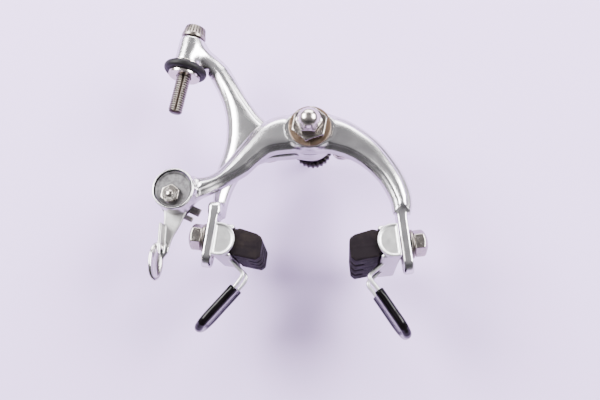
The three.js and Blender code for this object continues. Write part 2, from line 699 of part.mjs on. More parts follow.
function endPlateSection() {
  const top = HOLDER_HALF_HEIGHT;
  const { reach, corner } = END_PLATE;
  const shape = new THREE.Shape();
  shape.moveTo(HOLDER_BACK, corner - top);
  shape.lineTo(HOLDER_BACK, top - corner);
  shape.lineTo(HOLDER_BACK - corner, top);
  shape.quadraticCurveTo(reach, top - corner, reach, 0);
  shape.quadraticCurveTo(reach, corner - top, HOLDER_BACK - corner, -top);
  return shape;
}

function holderGeometry(guide) {
  const front = -HOLDER_LENGTH / 2;
  const trough = barY(holderSection(), HOLDER_LENGTH).translate(0, 0, -PAD_DROP);
  const endPlate = plateXZ(endPlateSection(), front - END_PLATE.thickness, front + GAP, 0, 10);
  endPlate.translate(0, 0, -PAD_DROP);
  const stud = rodX(STUD_RADIUS, HOLDER_BACK - HOLDER_WALL, LEG_THICKNESS / 2 + STUD_END, 24);
  const boss = rodX(HOLDER_BOSS.radius, HOLDER_BACK - HOLDER_BOSS.height, HOLDER_BACK, 24);
  const wireHole = sweep(guideCurve(guide), GUIDE_WIRE_RADIUS + GAP, GUIDE_STEPS, 8);
  return combine(trough, [endPlate, stud, boss], [wireHole]);
}

function padSection() {
  const inner = HOLDER_HALF_HEIGHT - HOLDER_WALL - GAP;
  const back = HOLDER_BACK - HOLDER_BACK_WALL - GAP;
  const lip = HOLDER_LIP - GAP;
  return closedShape([
    [back, -inner], [back, inner], [lip + HOLDER_WALL / 2, inner], ...PAD_NOSE, [lip, -inner],
  ]);
}

function padGeometry() {
  const front = -HOLDER_LENGTH / 2 + GAP;
  const rear = HOLDER_LENGTH / 2 + PAD_REAR_OVERHANG;
  const middle = (front + rear) / 2;
  const pitch = (rear - front) / (PAD_GROOVE.count + 1);
  const half = PAD_GROOVE.width / 2;
  const grooves = [];
  for (let i = 0; i < PAD_GROOVE.count; i += 1) {
    const y = middle + (i - (PAD_GROOVE.count - 1) / 2) * pitch;
    grooves.push(box(PAD_FACE - PAST, PAD_FACE + PAD_GROOVE.depth, y - half, y + half,
      -2 * HOLDER_HALF_HEIGHT, 2 * HOLDER_HALF_HEIGHT));
  }
  return combine(plateXZ(padSection(), front, rear), [], grooves).translate(0, 0, -PAD_DROP);
}

function between([x0, z0], [x1, z1], share) {
  return [x0 + (x1 - x0) * share, z0 + (z1 - z0) * share];
}

// One wire: out of the holder's floor at the front, down and round inside the sleeve, and
// back up to the holder's floor at the rear.
function guideCurve({ start, knee, mouth, tip }) {
  const length = Math.hypot(tip[0] - mouth[0], tip[1] - mouth[1]);
  const [near, far] = GUIDE_BEND.narrowing;
  const steps = [
    [start, 0],
    [between(start, knee, 0.5), 0],
    [between(knee, start, GUIDE_KNEE_ROUND / 10), 0],
    [between(knee, mouth, GUIDE_KNEE_ROUND / 6), 0],
    [mouth, 0],
    [between(mouth, tip, 0.5), 0],
    [between(tip, mouth, GUIDE_BEND.outer / length), 0],
    [between(tip, mouth, GUIDE_BEND.inner / length), near],
    [tip, far],
  ];
  const down = steps.map(([[x, z], inward]) => new THREE.Vector3(x, inward - GUIDE_SPREAD, z));
  const up = down.map((p) => new THREE.Vector3(p.x, -p.y, p.z)).reverse();
  return new THREE.CatmullRomCurve3([...down, ...up], false, 'centripetal');
}

// The sleeve follows the wire below the mouth, with a thin web between its two runs.
function guideSleeveGeometry(guide) {
  const { mouth, tip } = guide;
  const curve = guideCurve(guide);
  const tube = sweep(curve, GUIDE_SLEEVE_RADIUS, GUIDE_STEPS, 8);
  const length = Math.hypot(tip[0] - mouth[0], tip[1] - mouth[1]);
  const lean = Math.atan2(tip[0] - mouth[0], mouth[1] - tip[1]);
  const reach = 3 * GUIDE_SLEEVE_RADIUS;
  const keep = box(-reach, reach, -2 * GUIDE_SPREAD, 2 * GUIDE_SPREAD, -length - reach, 0);
  const half = GUIDE_WEB.thickness / 2;
  const web = box(-half, half, -GUIDE_SPREAD, GUIDE_SPREAD, GUIDE_WEB.shortBy - length, -0.01);
  [keep, web].forEach((piece) => piece.rotateY(-lean).translate(mouth[0], 0, mouth[1]));
  const channel = sweep(curve, GUIDE_WIRE_RADIUS + GAP, GUIDE_STEPS, 6);
  const outer = solid(tube).intersect(solid(keep)).add(solid(web));
  return geometryOf(outer.subtract(solid(channel)));
}

function shoeNutGeometry() {
  const inner = LEG_THICKNESS / 2 + GAP + OUTER_WASHER_THICKNESS + GAP;
  const outer = inner + SHOE_NUT.length;
  const radius = SHOE_NUT.flats / Math.sqrt(3);
  const hex = new THREE.CylinderGeometry(radius, radius, SHOE_NUT.length, 6);
  hex.rotateZ(-Math.PI / 2);
  hex.translate((inner + outer) / 2, 0, 0);
  const bore = rodX(STUD_RADIUS + GAP, inner - PAST, outer - SHOE_NUT.closedEnd, 24);
  const crown = new THREE.SphereGeometry(SHOE_NUT.domeRadius, 40, 24);
  crown.translate(outer - SHOE_NUT.domeRadius, 0, 0);
  return geometryOf(solid(hex).intersect(solid(crown)).subtract(solid(bore)));
}

function shoeWasherGeometry(from, thickness) {
  const to = from + thickness;
  const hole = rodX(STUD_RADIUS + GAP, from - PAST, to + PAST, 24);
  return combine(rodX(SHOE_WASHER_RADIUS, from, to, 32), [], [hole]);
}

function shoeGroups(label) {
  const shoe = SHOES[label];
  const guide = GUIDES[label];
  const make = (geometry) => (shoe.side < 0 ? mirrored(geometry) : geometry);
  const outer = shoeWasherGeometry(LEG_THICKNESS / 2 + GAP, OUTER_WASHER_THICKNESS);
  const inner = shoeWasherGeometry(HOLDER_BACK + GAP, INNER_WASHER_THICKNESS);
  const wire = sweep(guideCurve(guide), GUIDE_WIRE_RADIUS, GUIDE_STEPS, 8);
  const body = new THREE.Group();
  body.rotation.x = shoe.tilt;
  body.add(
    mesh(`${label}_shoe_inner_washer`, make(inner), 'steel'),
    mesh(`${label}_shoe_holder`, make(holderGeometry(guide)), 'chrome'),
    mesh(`${label}_brake_pad`, make(padGeometry()), 'rubber'),
    mesh(`${label}_guide_wire`, make(wire), 'chrome'),
    mesh(`${label}_guide_sleeve`, make(guideSleeveGeometry(guide)), 'plastic'),
  );
  const mount = new THREE.Group();
  mount.applyMatrix4(legMatrix(shoe));
  mount.add(
    mesh(`${label}_shoe_nut`, make(shoeNutGeometry()), 'chrome'),
    mesh(`${label}_shoe_outer_washer`, make(outer), 'steel'),
    body,
  );
  return mount;
}

// ---------------------------------------------------------------- assembly

const caliper = new THREE.Group();
caliper.add(
  centreBolt(),
  serratedWasher(),
  springBlock(),
  returnSpring(),
  washerAt('rear_thrust_washer', WASHER_RADIUS, REAR_WASHER_FRONT, THIN_WASHER, 'steel'),
  washerAt('middle_thrust_washer', WASHER_RADIUS, MIDDLE_WASHER_FRONT, THIN_WASHER, 'steel'),
  washerAt('bronze_washer', WASHER_RADIUS, BRONZE_FRONT, BRONZE_THICKNESS, 'bronze'),
  thinNut(),
  acornNut(),
  frontArm(),
  springPeg('front_spring_peg', PEGS.front),
  rearArm(),
  springPeg('rear_spring_peg', PEGS.rear),
  adjusterBarrel(),
  adjusterNut(),
  gripRing(),
  camDisc(),
  quickReleaseLever(),
  clampBolt(),
  clampWasher(),
  clampPlate(),
  clampNut(),
  shoeGroups('left'),
  shoeGroups('right'),
);

export default caliper;
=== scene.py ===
import math

import bpy
import numpy as np
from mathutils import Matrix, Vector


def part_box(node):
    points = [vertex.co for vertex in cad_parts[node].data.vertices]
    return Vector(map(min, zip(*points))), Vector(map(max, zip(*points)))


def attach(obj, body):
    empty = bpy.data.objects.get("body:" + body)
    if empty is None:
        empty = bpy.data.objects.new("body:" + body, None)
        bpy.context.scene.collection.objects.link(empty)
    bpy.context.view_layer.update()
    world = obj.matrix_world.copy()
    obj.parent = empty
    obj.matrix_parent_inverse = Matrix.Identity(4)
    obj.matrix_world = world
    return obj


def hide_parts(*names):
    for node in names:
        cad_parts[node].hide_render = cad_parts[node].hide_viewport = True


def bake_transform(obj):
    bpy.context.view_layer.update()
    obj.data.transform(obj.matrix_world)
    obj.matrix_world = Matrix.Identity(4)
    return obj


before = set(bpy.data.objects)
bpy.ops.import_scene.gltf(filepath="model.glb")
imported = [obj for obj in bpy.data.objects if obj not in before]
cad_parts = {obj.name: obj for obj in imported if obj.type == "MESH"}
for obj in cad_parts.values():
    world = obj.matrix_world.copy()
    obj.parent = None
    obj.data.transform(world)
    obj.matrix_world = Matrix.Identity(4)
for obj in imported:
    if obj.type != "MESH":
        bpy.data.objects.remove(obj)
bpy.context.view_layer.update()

import openvdb as vdb
from mathutils import Matrix, Vector

# Lengths are in millimetres and become metres as each mesh is made. Only the studio
# and the camera are in metres.
MM = 0.001
# the arms' sampling step, and a factor on the finer steps of the small pieces
ARM_VOXEL = 0.42
FINE = 1.7

# ---------------------------------------------------------------- the frame's own places

def span(node):
    lo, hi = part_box(node)
    return np.array(lo) / MM, np.array(hi) / MM


def middle(node):
    lo, hi = span(node)
    return (lo + hi) / 2


ARM_THICK = 8.0
GAP = 0.3


def arm_faces(washer):
    """Front and rear Y of the arm that ends a gap in front of this washer."""
    rear = span(washer)[0][1] - GAP
    return rear - ARM_THICK, rear


def axis_at(node):
    """The (x, z) of a piece that lies along Y."""
    x, _, z = middle(node)
    return x, z


FRONT_Y = arm_faces("middle_thrust_washer")
REAR_Y = arm_faces("rear_thrust_washer")
BOLT_HOLE = 3.3
BOSS_RADIUS = 9.6
WASHER_RADIUS = 9.2
PEG_X, PEG_Z = axis_at("front_spring_peg")
PEG_HOLE, PEG_DEPTH = 1.8, 3.3

# each leg hangs in one plane and leans outwards, with a slot for the shoe's stud
LEG_PLANE = -22.6
LEG_LEAN = math.radians(6.5)
LEG_HALF = (2.1, 5.5)
LEG_TOP = 13.5
LEG_END = 12.5
SLOT_RADIUS = 3.3
SLOT_TRAVEL = 5.2
SHOES = {
    "left": dict(side=-1, at=(-42.0, LEG_PLANE, -47.8), yaw=math.radians(4.5), tilt=math.radians(4.0)),
    "right": dict(side=1, at=(40.0, LEG_PLANE, -50.0), yaw=0.0, tilt=0.0),
}
ADJ_AT = np.array((-57.0, LEG_PLANE, 40.6))
ADJ_LEAN = math.radians(9.4)
DRUM = axis_at("cam_disc")
CLAMP = axis_at("cable_clamp_washer")

# ---------------------------------------------------------------- distance fields


class Grid:
    """Sample points of a box, in the piece's own coordinates."""

    def __init__(self, lo, hi, step):
        self.lo = np.array(lo, float)
        self.step = step
        axes = [np.arange(a, b + step, step, dtype=np.float32) for a, b in zip(lo, hi)]
        self.x, self.y, self.z = np.meshgrid(*axes, indexing="ij", sparse=True)
        self.shape = tuple(len(a) for a in axes)


def hyp(a, b):
    return np.sqrt(a * a + b * b)


def smin(a, b, k):
    """The nearer of two fields, blended where they differ by less than k."""
    h = np.maximum(k - np.abs(a - b), 0.0) / k
    return np.minimum(a, b) - h * h * k * 0.25


def smax(a, b, k):
    return -smin(-a, -b, k)


def rounded(q0, q1, r):
    """Two half-space distances joined with an edge of radius r."""
    return np.minimum(np.maximum(q0 + r, q1 + r), 0.0) + hyp(np.maximum(q0 + r, 0), np.maximum(q1 + r, 0)) - r


def slab(v, lo, hi):
    return np.abs(v - (lo + hi) / 2) - (hi - lo) / 2


def box3(gx, gy, gz, lo, hi, r=0.0):
    q = [slab(v, a, b) + r for v, a, b in zip((gx, gy, gz), lo, hi)]
    out = np.sqrt(sum(np.maximum(v, 0) ** 2 for v in q))
    return out + np.minimum(np.maximum(np.maximum(q[0], q[1]), q[2]), 0) - r


def can(a, b, h, lo, hi, radius, r=0.0):
    """A cylinder: a, b are the coordinates across its axis, h the one along it."""
    return rounded(hyp(a, b) - radius, slab(h, lo, hi), r)


def hexagon(a, b, flats, turn):
    """A hexagon by its width across flats, turned by an angle."""
    c = [math.cos(turn + i * math.pi / 3) for i in range(3)]
    s = [math.sin(turn + i * math.pi / 3) for i in range(3)]
    d = np.abs(a * c[0] + b * s[0])
    for i in (1, 2):
        d = np.maximum(d, np.abs(a * c[i] + b * s[i]))
    return d - flats / 2


def capsule(p, a, b, r):
    """A round-ended rod of radius r from a to b."""
    a, b = np.array(a, float), np.array(b, float)
    ab = b - a
    t = sum((v - o) * d for v, o, d in zip(p, a, ab)) / float(ab @ ab)
    t = np.clip(t, 0, 1)
    return np.sqrt(sum((v - o - t * d) ** 2 for v, o, d in zip(p, a, ab))) - r


def polygon(px, pz, points):
    """Signed distance to a closed outline, on a 2-D sheet of points."""
    px, pz = np.broadcast_arrays(px, pz)
    d = np.full(px.shape, 1e9, np.float32)
    inside = np.zeros(px.shape, bool)
    for (x0, z0), (x1, z1) in zip(points, points[1:] + points[:1]):
        ex, ez = x1 - x0, z1 - z0
        wx, wz = px - x0, pz - z0
        t = np.clip((wx * ex + wz * ez) / max(ex * ex + ez * ez, 1e-12), 0, 1)
        d = np.minimum(d, (wx - ex * t) ** 2 + (wz - ez * t) ** 2)
        if z0 != z1:
            crossing = (z0 > pz) != (z1 > pz)
            inside ^= crossing & (px < (x1 - x0) * (pz - z0) / (z1 - z0) + x0)
    return np.where(inside, -np.sqrt(d), np.sqrt(d))


def spline(points, steps=8):
    """Catmull-Rom through the points."""
    p = np.array(points, float)
    p = np.vstack([2 * p[0] - p[1], p, 2 * p[-1] - p[-2]])
    out = []
    for i in range(1, len(p) - 2):
        for t in np.arange(steps) / steps:
            out.append(0.5 * (2 * p[i] + (p[i + 1] - p[i - 1]) * t
                              + (2 * p[i - 1] - 5 * p[i] + 4 * p[i + 1] - p[i + 2]) * t ** 2
                              + (3 * p[i] - p[i - 1] - 3 * p[i + 1] + p[i + 2]) * t ** 3))
    out.append(p[-2])
    return [tuple(v) for v in out]


def outline(runs):
    """Runs of one or two points are joined straight, longer runs by a smooth curve."""
    points = []
    for run in runs:
        if len(run) > 2 and points:
            run = spline([points[-1]] + run)[1:]
        points += [tuple(v) for v in run]
    return points


def limb(g, points, y0, y1, front, rear, step, inset):
    """An arm's limb: the outline given depth, with a broad round in front and a small one behind.

    front and rear are each round's reach (in from the outline, back from the face). A panel is raised
    by step on the front face, this far inside the outline.
    """
    plan = polygon(g.x[:, 0, :], g.z[0], points)[:, None, :]
    mid = (y0 + y1) / 2
    parts = []
    for q, (a, b) in ((y0 - g.y, front), (g.y - y1, rear)):
        e0, e1 = np.maximum(plan / a + 1, 0), np.maximum(q / b + 1, 0)
        curve = (hyp(e0, e1) - 1) * min(a, b)
        parts.append(np.where((e0 > 0) & (e1 > 0), curve, np.maximum(plan, q)))
    # the step fades out before the middle plane, where front and rear halves meet
    fade = np.clip((mid - 1.0 - g.y) / 1.5, 0, 1)
    parts[0] = parts[0] + step * fade * np.clip((plan + inset) / 0.35, 0, 1)
    return np.where(g.y < mid, parts[0], parts[1]).astype(np.float32)


# ---------------------------------------------------------------- meshes

def gradient_at(field, g, points):
    """Outward normals of the field at the points, which are in grid steps."""
    grads = np.gradient(field)
    base = np.clip(np.floor(points).astype(int), 0, np.array(field.shape) - 2)
    f = points - base
    normal = np.zeros_like(points)
    for corner in range(8):
        o = np.array([(corner >> i) & 1 for i in range(3)])
        w = np.prod(np.where(o, f, 1 - f), axis=1)
        i = tuple((base + o).T)
        for axis in range(3):
            normal[:, axis] += w * grads[axis][i]
    return normal / np.maximum(np.linalg.norm(normal, axis=1, keepdims=True), 1e-9)


def skin(field, g):
    """The zero surface of a field as (vertices, faces, normals), in the field's coordinates."""
    field = np.array(np.broadcast_to(field, g.shape), dtype=np.float32, order="C")
    volume = vdb.FloatGrid(background=3.0)
    volume.copyFromArray(field)
    points, _, quads = volume.convertToPolygons(isovalue=0.0, adaptivity=0.0)
    points = points.astype(float)
    verts = points * g.step + g.lo
    a, b, c = (verts[quads[:, i]] for i in range(3))
    signed_volume = np.einsum("ij,ij->", a, np.cross(b, c))
    if signed_volume < 0:
        quads = quads[:, ::-1]
    return verts, quads, gradient_at(field, g, points)


def mesh_of(name, verts, faces, normals=None, matrix=None, mirror=False):
    """A linked, smooth-shaded mesh object, mirrored in X and then placed if asked for."""
    verts = np.array(verts, float)
    faces = [tuple(f) for f in faces]
    if mirror:
        verts = verts * (-1, 1, 1)
        faces = [f[::-1] for f in faces]
        normals = None if normals is None else normals * (-1, 1, 1)
    if matrix is not None:
        m = np.array(matrix)
        verts = verts @ m[:3, :3].T + m[:3, 3]
        normals = None if normals is None else normals @ m[:3, :3].T
    data = bpy.data.meshes.new(name)
    data.from_pydata((verts * MM).tolist(), [], faces)
    data.polygons.foreach_set("use_smooth", [True] * len(data.polygons))
    if normals is not None:
        data.normals_split_custom_set_from_vertices(normals.tolist())
    data.update()
    obj = bpy.data.objects.new(name, data)
    bpy.context.scene.collection.objects.link(obj)
    return obj


def make(name, node, body, material, parts, matrix=None, mirror=False):
    """One finished piece: its mesh, what it stands for, what it rides on and its finish."""
    obj = mesh_of(name, *parts, matrix=matrix, mirror=mirror)
    obj.data.materials.append(material)
    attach(obj, body)
    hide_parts(node)
    return obj


def surface(rings):
    """A quad skin over rings of points, closed by a face at each end."""
    rings = np.array(rings, float)
    n, m = rings.shape[:2]
    verts = rings.reshape(-1, 3)
    faces = []
    for i in range(n - 1):
        for j in range(m):
            k = (j + 1) % m
            faces.append((i * m + j, i * m + k, (i + 1) * m + k, (i + 1) * m + j))
    faces.append(tuple(range(m))[::-1])
    faces.append(tuple((n - 1) * m + j for j in range(m)))
    return verts, faces


def corner_profile(points, r=0.25, steps=4):
    """A closed profile with each corner rounded by up to r."""
    p = [np.array(v, float) for v in points]
    out = []
    for i, c in enumerate(p):
        a, b = p[i - 1], p[(i + 1) % len(p)]
        la, lb = np.linalg.norm(a - c), np.linalg.norm(b - c)
        cut = min(r, la * 0.45, lb * 0.45)
        s, e = c + (a - c) / la * cut, c + (b - c) / lb * cut
        for t in np.linspace(0, 1, steps + 1):
            out.append((1 - t) ** 2 * s + 2 * t * (1 - t) * c + t * t * e)
    return out


def spun(profile, sides, r, steps, wobble=None):
    """A ring turned about the h axis from a closed (radius, height) profile.

    wobble(radius, height, angle) gives the radius where it varies round the ring.
    """
    rounded_profile = corner_profile(profile, r, steps)
    rings = []
    for j in range(sides):
        t = 2 * math.pi * j / sides
        ring = []
        for radius, h in rounded_profile:
            reach = radius if wobble is None else wobble(radius, h, t)
            ring.append((reach * math.cos(t), reach * math.sin(t), h))
        rings.append(ring)
    verts = np.array(rings)
    n, m = verts.shape[:2]
    faces = []
    for i in range(n):
        for j in range(m):
            a, b = (i + 1) % n, (j + 1) % m
            faces.append((i * m + j, a * m + j, a * m + b, i * m + b))
    return fix(verts.reshape(-1, 3), faces)


def fix(verts, faces):
    """Turns the faces outwards if the signed volume is negative."""
    verts = np.array(verts)
    volume = 0.0
    for f in faces:
        a = verts[f[0]]
        for k in range(1, len(f) - 1):
            volume += float(np.dot(a, np.cross(verts[f[k]], verts[f[k + 1]])))
    if volume < 0:
        faces = [tuple(f)[::-1] for f in faces]
    return verts, faces


def along_y(verts):
    """Turns a piece spun about its own h axis so that h runs along Y."""
    v = np.array(verts)
    return np.stack([v[:, 0], v[:, 2], -v[:, 1]], axis=1)


def along_x(verts):
    """The same, so that h runs along X."""
    v = np.array(verts)
    return np.stack([v[:, 2], v[:, 1], -v[:, 0]], axis=1)


def swept(path, radius, sides):
    """A tube with round ends along a smooth path."""
    p = np.array(path, float)
    tangents = np.gradient(p, axis=0)
    tangents /= np.linalg.norm(tangents, axis=1, keepdims=True)
    up = np.cross(tangents[0], (0.3, 1, 0.2))
    up /= np.linalg.norm(up)
    rings = []
    ends = [(1 - math.cos(a), math.sin(a)) for a in np.linspace(0.25, math.pi / 2, 5)]
    for i, (c, t) in enumerate(zip(p, tangents)):
        up = up - t * np.dot(up, t)
        up /= np.linalg.norm(up)
        side = np.cross(t, up)
        circle = [(math.cos(a), math.sin(a)) for a in 2 * math.pi * np.arange(sides) / sides]
        if i == 0:
            for back, wide in ends[:-1]:
                at = c - t * radius * 0.8 * (1 - back)
                rings.append([at + radius * wide * (up * u + side * v) for u, v in circle])
        rings.append([c + radius * (up * u + side * v) for u, v in circle])
        if i == len(p) - 1:
            for back, wide in ends[-2::-1]:
                at = c + t * radius * 0.8 * (1 - back)
                rings.append([at + radius * wide * (up * u + side * v) for u, v in circle])
    return fix(*surface(rings))


def threaded(radius, s0, s1, pitch, depth, sides, step, keyway=None):
    """A threaded rod from height s0 to s1: rings whose radius follows a helix.

    keyway is (angle, half width, depth) of a groove along the rod.
    """
    rings = []
    heights = np.arange(s0, s1 + 1e-6, step * FINE)
    for s in heights:
        ring = []
        for j in range(sides):
            t = 2 * math.pi * j / sides
            phase = (s / pitch - t / (2 * math.pi)) % 1.0
            wave = abs(2 * phase - 1)
            # a flat crest, a narrow root, and both ends of the rod turned down
            r = radius - depth * (1 - min(1.0, max(0.0, wave * 1.35 - 0.1)))
            r = min(r, radius - 0.7 + max(0.0, s - s0), radius - 0.3 + max(0.0, s1 - s))
            if keyway is not None:
                off = abs((t - keyway[0] + math.pi) % (2 * math.pi) - math.pi) * radius
                if off < keyway[1]:
                    r = min(r, radius - keyway[2])
            ring.append((r * math.cos(t), r * math.sin(t), s))
        rings.append(ring)
    return fix(*surface(rings))


def joined(*parts):
    """Several closed shells as one mesh."""
    verts, faces, offset = [], [], 0
    for v, f in parts:
        verts.append(np.array(v, float))
        faces += [tuple(i + offset for i in face) for face in f]
        offset += len(v)
    return np.vstack(verts), faces


# ---------------------------------------------------------------- materials

def nodes_of(owner):
    """The nodes and links of a material or world."""
    return owner.node_tree.nodes, owner.node_tree.links


def metal(name, color, rough, rough_to, tint, tint_scale, metallic=1.0, tint_cut=(0.45, 0.7),
          grain=0.0, grain_scale=(900, 900, 900), wave=0.0, wave_scale=120, pits=0.0,
          edge=None, specular=None, polish=None, groove=None, rim=0.5):
    """A Principled finish whose colour, roughness and bump vary over the surface.

    tint is a second colour in patches, edge the colour of worn edges, groove the colour of painted shade in
    thread roots and flutes, and rim the painted shade of metal at glancing angles. wave, grain and pits are
    bump strengths.
    """
    m = bpy.data.materials.new(name)
    m.use_nodes = True
    nodes, links = nodes_of(m)
    bsdf = nodes["Principled BSDF"]
    bsdf.inputs["Metallic"].default_value = metallic
    if specular is not None:
        bsdf.inputs["Specular IOR Level"].default_value = specular
    place = nodes.new("ShaderNodeTexCoord")

    def noise(scale, detail, rough_detail=0.6, stretch=None):
        n = nodes.new("ShaderNodeTexNoise")
        n.inputs["Scale"].default_value = scale
        n.inputs["Detail"].default_value = detail
        n.inputs["Roughness"].default_value = rough_detail
        source = place.outputs["Object"]
        if stretch is not None:
            mapping = nodes.new("ShaderNodeMapping")
            mapping.inputs["Scale"].default_value = stretch
            links.new(source, mapping.inputs["Vector"])
            source = mapping.outputs["Vector"]
            n.inputs["Scale"].default_value = 1.0
        links.new(source, n.inputs["Vector"])
        return n.outputs["Fac"]

    def ramped(value, lo, hi, out_lo, out_hi):
        r = nodes.new("ShaderNodeMapRange")
        r.inputs["From Min"].default_value, r.inputs["From Max"].default_value = lo, hi
        r.inputs["To Min"].default_value, r.inputs["To Max"].default_value = out_lo, out_hi
        links.new(value, r.inputs["Value"])
        return r.outputs["Result"]

    links.new(ramped(noise(tint_scale * 2.3, 6), 0.35, 0.7, rough, rough_to), bsdf.inputs["Roughness"])
    mix = nodes.new("ShaderNodeMix")
    mix.data_type = "RGBA"
    mix.inputs[6].default_value = (*color, 1)
    mix.inputs[7].default_value = (*tint, 1)
    links.new(ramped(noise(tint_scale, 7, 0.65), *tint_cut, 0.0, 1.0), mix.inputs[0])
    color_out = mix.outputs[2]
    # painted shade in thread roots and flutes: the groove attribute darkens the colour there
    if groove is not None:
        hollow = nodes.new("ShaderNodeAttribute")
        hollow.attribute_name = "groove"
        groove_shade_mix = nodes.new("ShaderNodeMix")
        groove_shade_mix.data_type = "RGBA"
        links.new(color_out, groove_shade_mix.inputs[6])
        groove_shade_mix.inputs[7].default_value = (*groove, 1)
        links.new(ramped(hollow.outputs["Fac"], 0.25, 0.8, 0.0, 0.95), groove_shade_mix.inputs[0])
        color_out = groove_shade_mix.outputs[2]
    if edge is not None:
        geometry = nodes.new("ShaderNodeNewGeometry")
        wear = nodes.new("ShaderNodeMix")
        wear.data_type = "RGBA"
        links.new(color_out, wear.inputs[6])
        wear.inputs[7].default_value = (*edge, 1)
        links.new(ramped(geometry.outputs["Pointiness"], 0.53, 0.60, 0.0, 0.9), wear.inputs[0])
        color_out = wear.outputs[2]
    if metallic > 0.5:
        # painted shade: the colour darkens at glancing angles, a painted reflection of the darker things
        # round a real caliper
        glance = nodes.new("ShaderNodeLayerWeight")
        glance.inputs["Blend"].default_value = 0.5
        shade = nodes.new("ShaderNodeMix")
        shade.data_type = "RGBA"
        shade.blend_type = "MULTIPLY"
        shade.inputs[7].default_value = (rim, rim * 0.96, rim * 0.95, 1)
        links.new(ramped(glance.outputs["Facing"], 0.45, 0.95, 0.0, 1.0), shade.inputs[0])
        links.new(color_out, shade.inputs[6])
        color_out = shade.outputs[2]
    links.new(color_out, bsdf.inputs["Base Color"])

    if polish is not None:
        # the end of the piece beyond a given height is polished
        split = nodes.new("ShaderNodeSeparateXYZ")
        links.new(place.outputs["Object"], split.inputs[0])
        mask = ramped(split.outputs["Z"], polish[0] * MM, polish[1] * MM, 1.0, 0.0)
        shine = nodes.new("ShaderNodeMix")
        shine.data_type = "RGBA"
        links.new(mask, shine.inputs[0])
        links.new(color_out, shine.inputs[6])
        shine.inputs[7].default_value = (0.72, 0.70, 0.69, 1)
        links.new(shine.outputs[2], bsdf.inputs["Base Color"])
        smooth = nodes.new("ShaderNodeMix")
        links.new(mask, smooth.inputs[0])
        links.new(bsdf.inputs["Roughness"].links[0].from_socket, smooth.inputs[2])
        smooth.inputs[3].default_value = 0.13
        links.new(smooth.outputs[0], bsdf.inputs["Roughness"])

    normal = None
    for strength, texture, distance in (
            (wave, (wave_scale, 2), 0.0006),
            (grain, (1.0, 3, 0.6, grain_scale), 0.00006),
            (pits, (2600, 2), 0.00009)):
        if not strength:
            continue
        bump = nodes.new("ShaderNodeBump")
        bump.inputs["Strength"].default_value = strength
        bump.inputs["Distance"].default_value = distance
        links.new(noise(*texture), bump.inputs["Height"])
        if normal is not None:
            links.new(normal, bump.inputs["Normal"])
        normal = bump.outputs["Normal"]
    if normal is not None:
        links.new(normal, bsdf.inputs["Normal"])
    return m


ALUMINIUM = metal("polished_aluminium", (0.74, 0.72, 0.735), 0.21, 0.27, (0.705, 0.685, 0.695), 70,
                  grain=0.35, grain_scale=(2600, 300, 500), wave=0.22, wave_scale=85)
SATIN = metal("satin_aluminium", (0.44, 0.43, 0.43), 0.36, 0.48, (0.34, 0.33, 0.33), 160,
              grain=0.6, grain_scale=(3200, 900, 700), pits=0.2, polish=(-52.0, -50.5))
# chrome gets a stronger painted shade at glancing angles (rim)
CHROME = metal("bright_chrome", (0.66, 0.60, 0.575), 0.17, 0.26, (0.47, 0.415, 0.39), 240,
               rim=0.3, tint_cut=(0.5, 0.8), grain=0.25, grain_scale=(1500, 1500, 1500))
HOLDER = metal("holder_chrome", (0.74, 0.73, 0.73), 0.36, 0.44, (0.71, 0.695, 0.69), 180,
               tint_cut=(0.5, 0.85), grain=0.3, grain_scale=(1200, 600, 2400))
NUT_STEEL = metal("shoe_nut_chrome", (0.42, 0.385, 0.36), 0.18, 0.32, (0.27, 0.24, 0.215), 260,
                  grain=0.5, grain_scale=(1800, 700, 700))
# groove is the colour of the painted shade in the thread roots and flutes
STEEL = metal("bolt_steel", (0.27, 0.24, 0.22), 0.26, 0.42, (0.14, 0.115, 0.10), 420,
              groove=(0.035, 0.027, 0.022), tint_cut=(0.5, 0.72), grain=0.4,
              grain_scale=(2000, 2000, 2000))
DARK = metal("dark_steel", (0.055, 0.050, 0.053), 0.36, 0.55, (0.11, 0.095, 0.09), 500,
             pits=0.5, edge=(0.22, 0.20, 0.19))
CLAMP_STEEL = metal("clamp_steel", (0.26, 0.245, 0.235), 0.34, 0.5, (0.13, 0.12, 0.115), 380,
                    pits=0.3, grain=0.4, grain_scale=(1800, 900, 900))
BRONZE = metal("bronze", (0.135, 0.095, 0.070), 0.32, 0.5, (0.23, 0.165, 0.12), 260,
               grain=0.5, grain_scale=(1800, 400, 1800), edge=(0.36, 0.28, 0.21))
DISC = metal("grey_disc", (0.15, 0.145, 0.15), 0.46, 0.6, (0.075, 0.07, 0.075), 420,
             metallic=0.8, tint_cut=(0.42, 0.62), pits=1.0, grain=0.8, grain_scale=(1300, 1300, 1300))
NYLON = metal("nylon", (0.82, 0.80, 0.75), 0.42, 0.55, (0.74, 0.71, 0.64), 300, metallic=0.0, pits=0.2)
RUBBER = metal("black_rubber", (0.006, 0.005, 0.006), 0.42, 0.62, (0.012, 0.011, 0.011), 300,
               metallic=0.0, specular=0.22, pits=0.4, wave=0.1, wave_scale=300)
PAD = metal("pad_rubber", (0.008, 0.0055, 0.0075), 0.60, 0.85, (0.019, 0.014, 0.0125), 130,
            metallic=0.0, specular=0.07, tint_cut=(0.52, 0.78), pits=0.8, wave=0.12, wave_scale=400,
            edge=(0.034, 0.027, 0.024))
PLASTIC = metal("black_plastic", (0.0025, 0.002, 0.0025), 0.13, 0.25, (0.005, 0.004, 0.005), 160,
                metallic=0.0, specular=0.17, grain=0.5, grain_scale=(500, 500, 90))

# ---------------------------------------------------------------- leg frames

def leg_matrix(label, tilted=False):
    """Where a shoe's pieces are placed: at the leg, or tilted with the shoe about its stud."""
    shoe = SHOES[label]
    side = shoe["side"]
    m = Matrix.Translation(shoe["at"]) @ Matrix.Rotation(-side * LEG_LEAN, 4, "Y")
    m = m @ Matrix.Rotation(-side * shoe["yaw"], 4, "Z")
    if tilted:
        m = m @ Matrix.Rotation(shoe["tilt"], 4, "X")
    return m


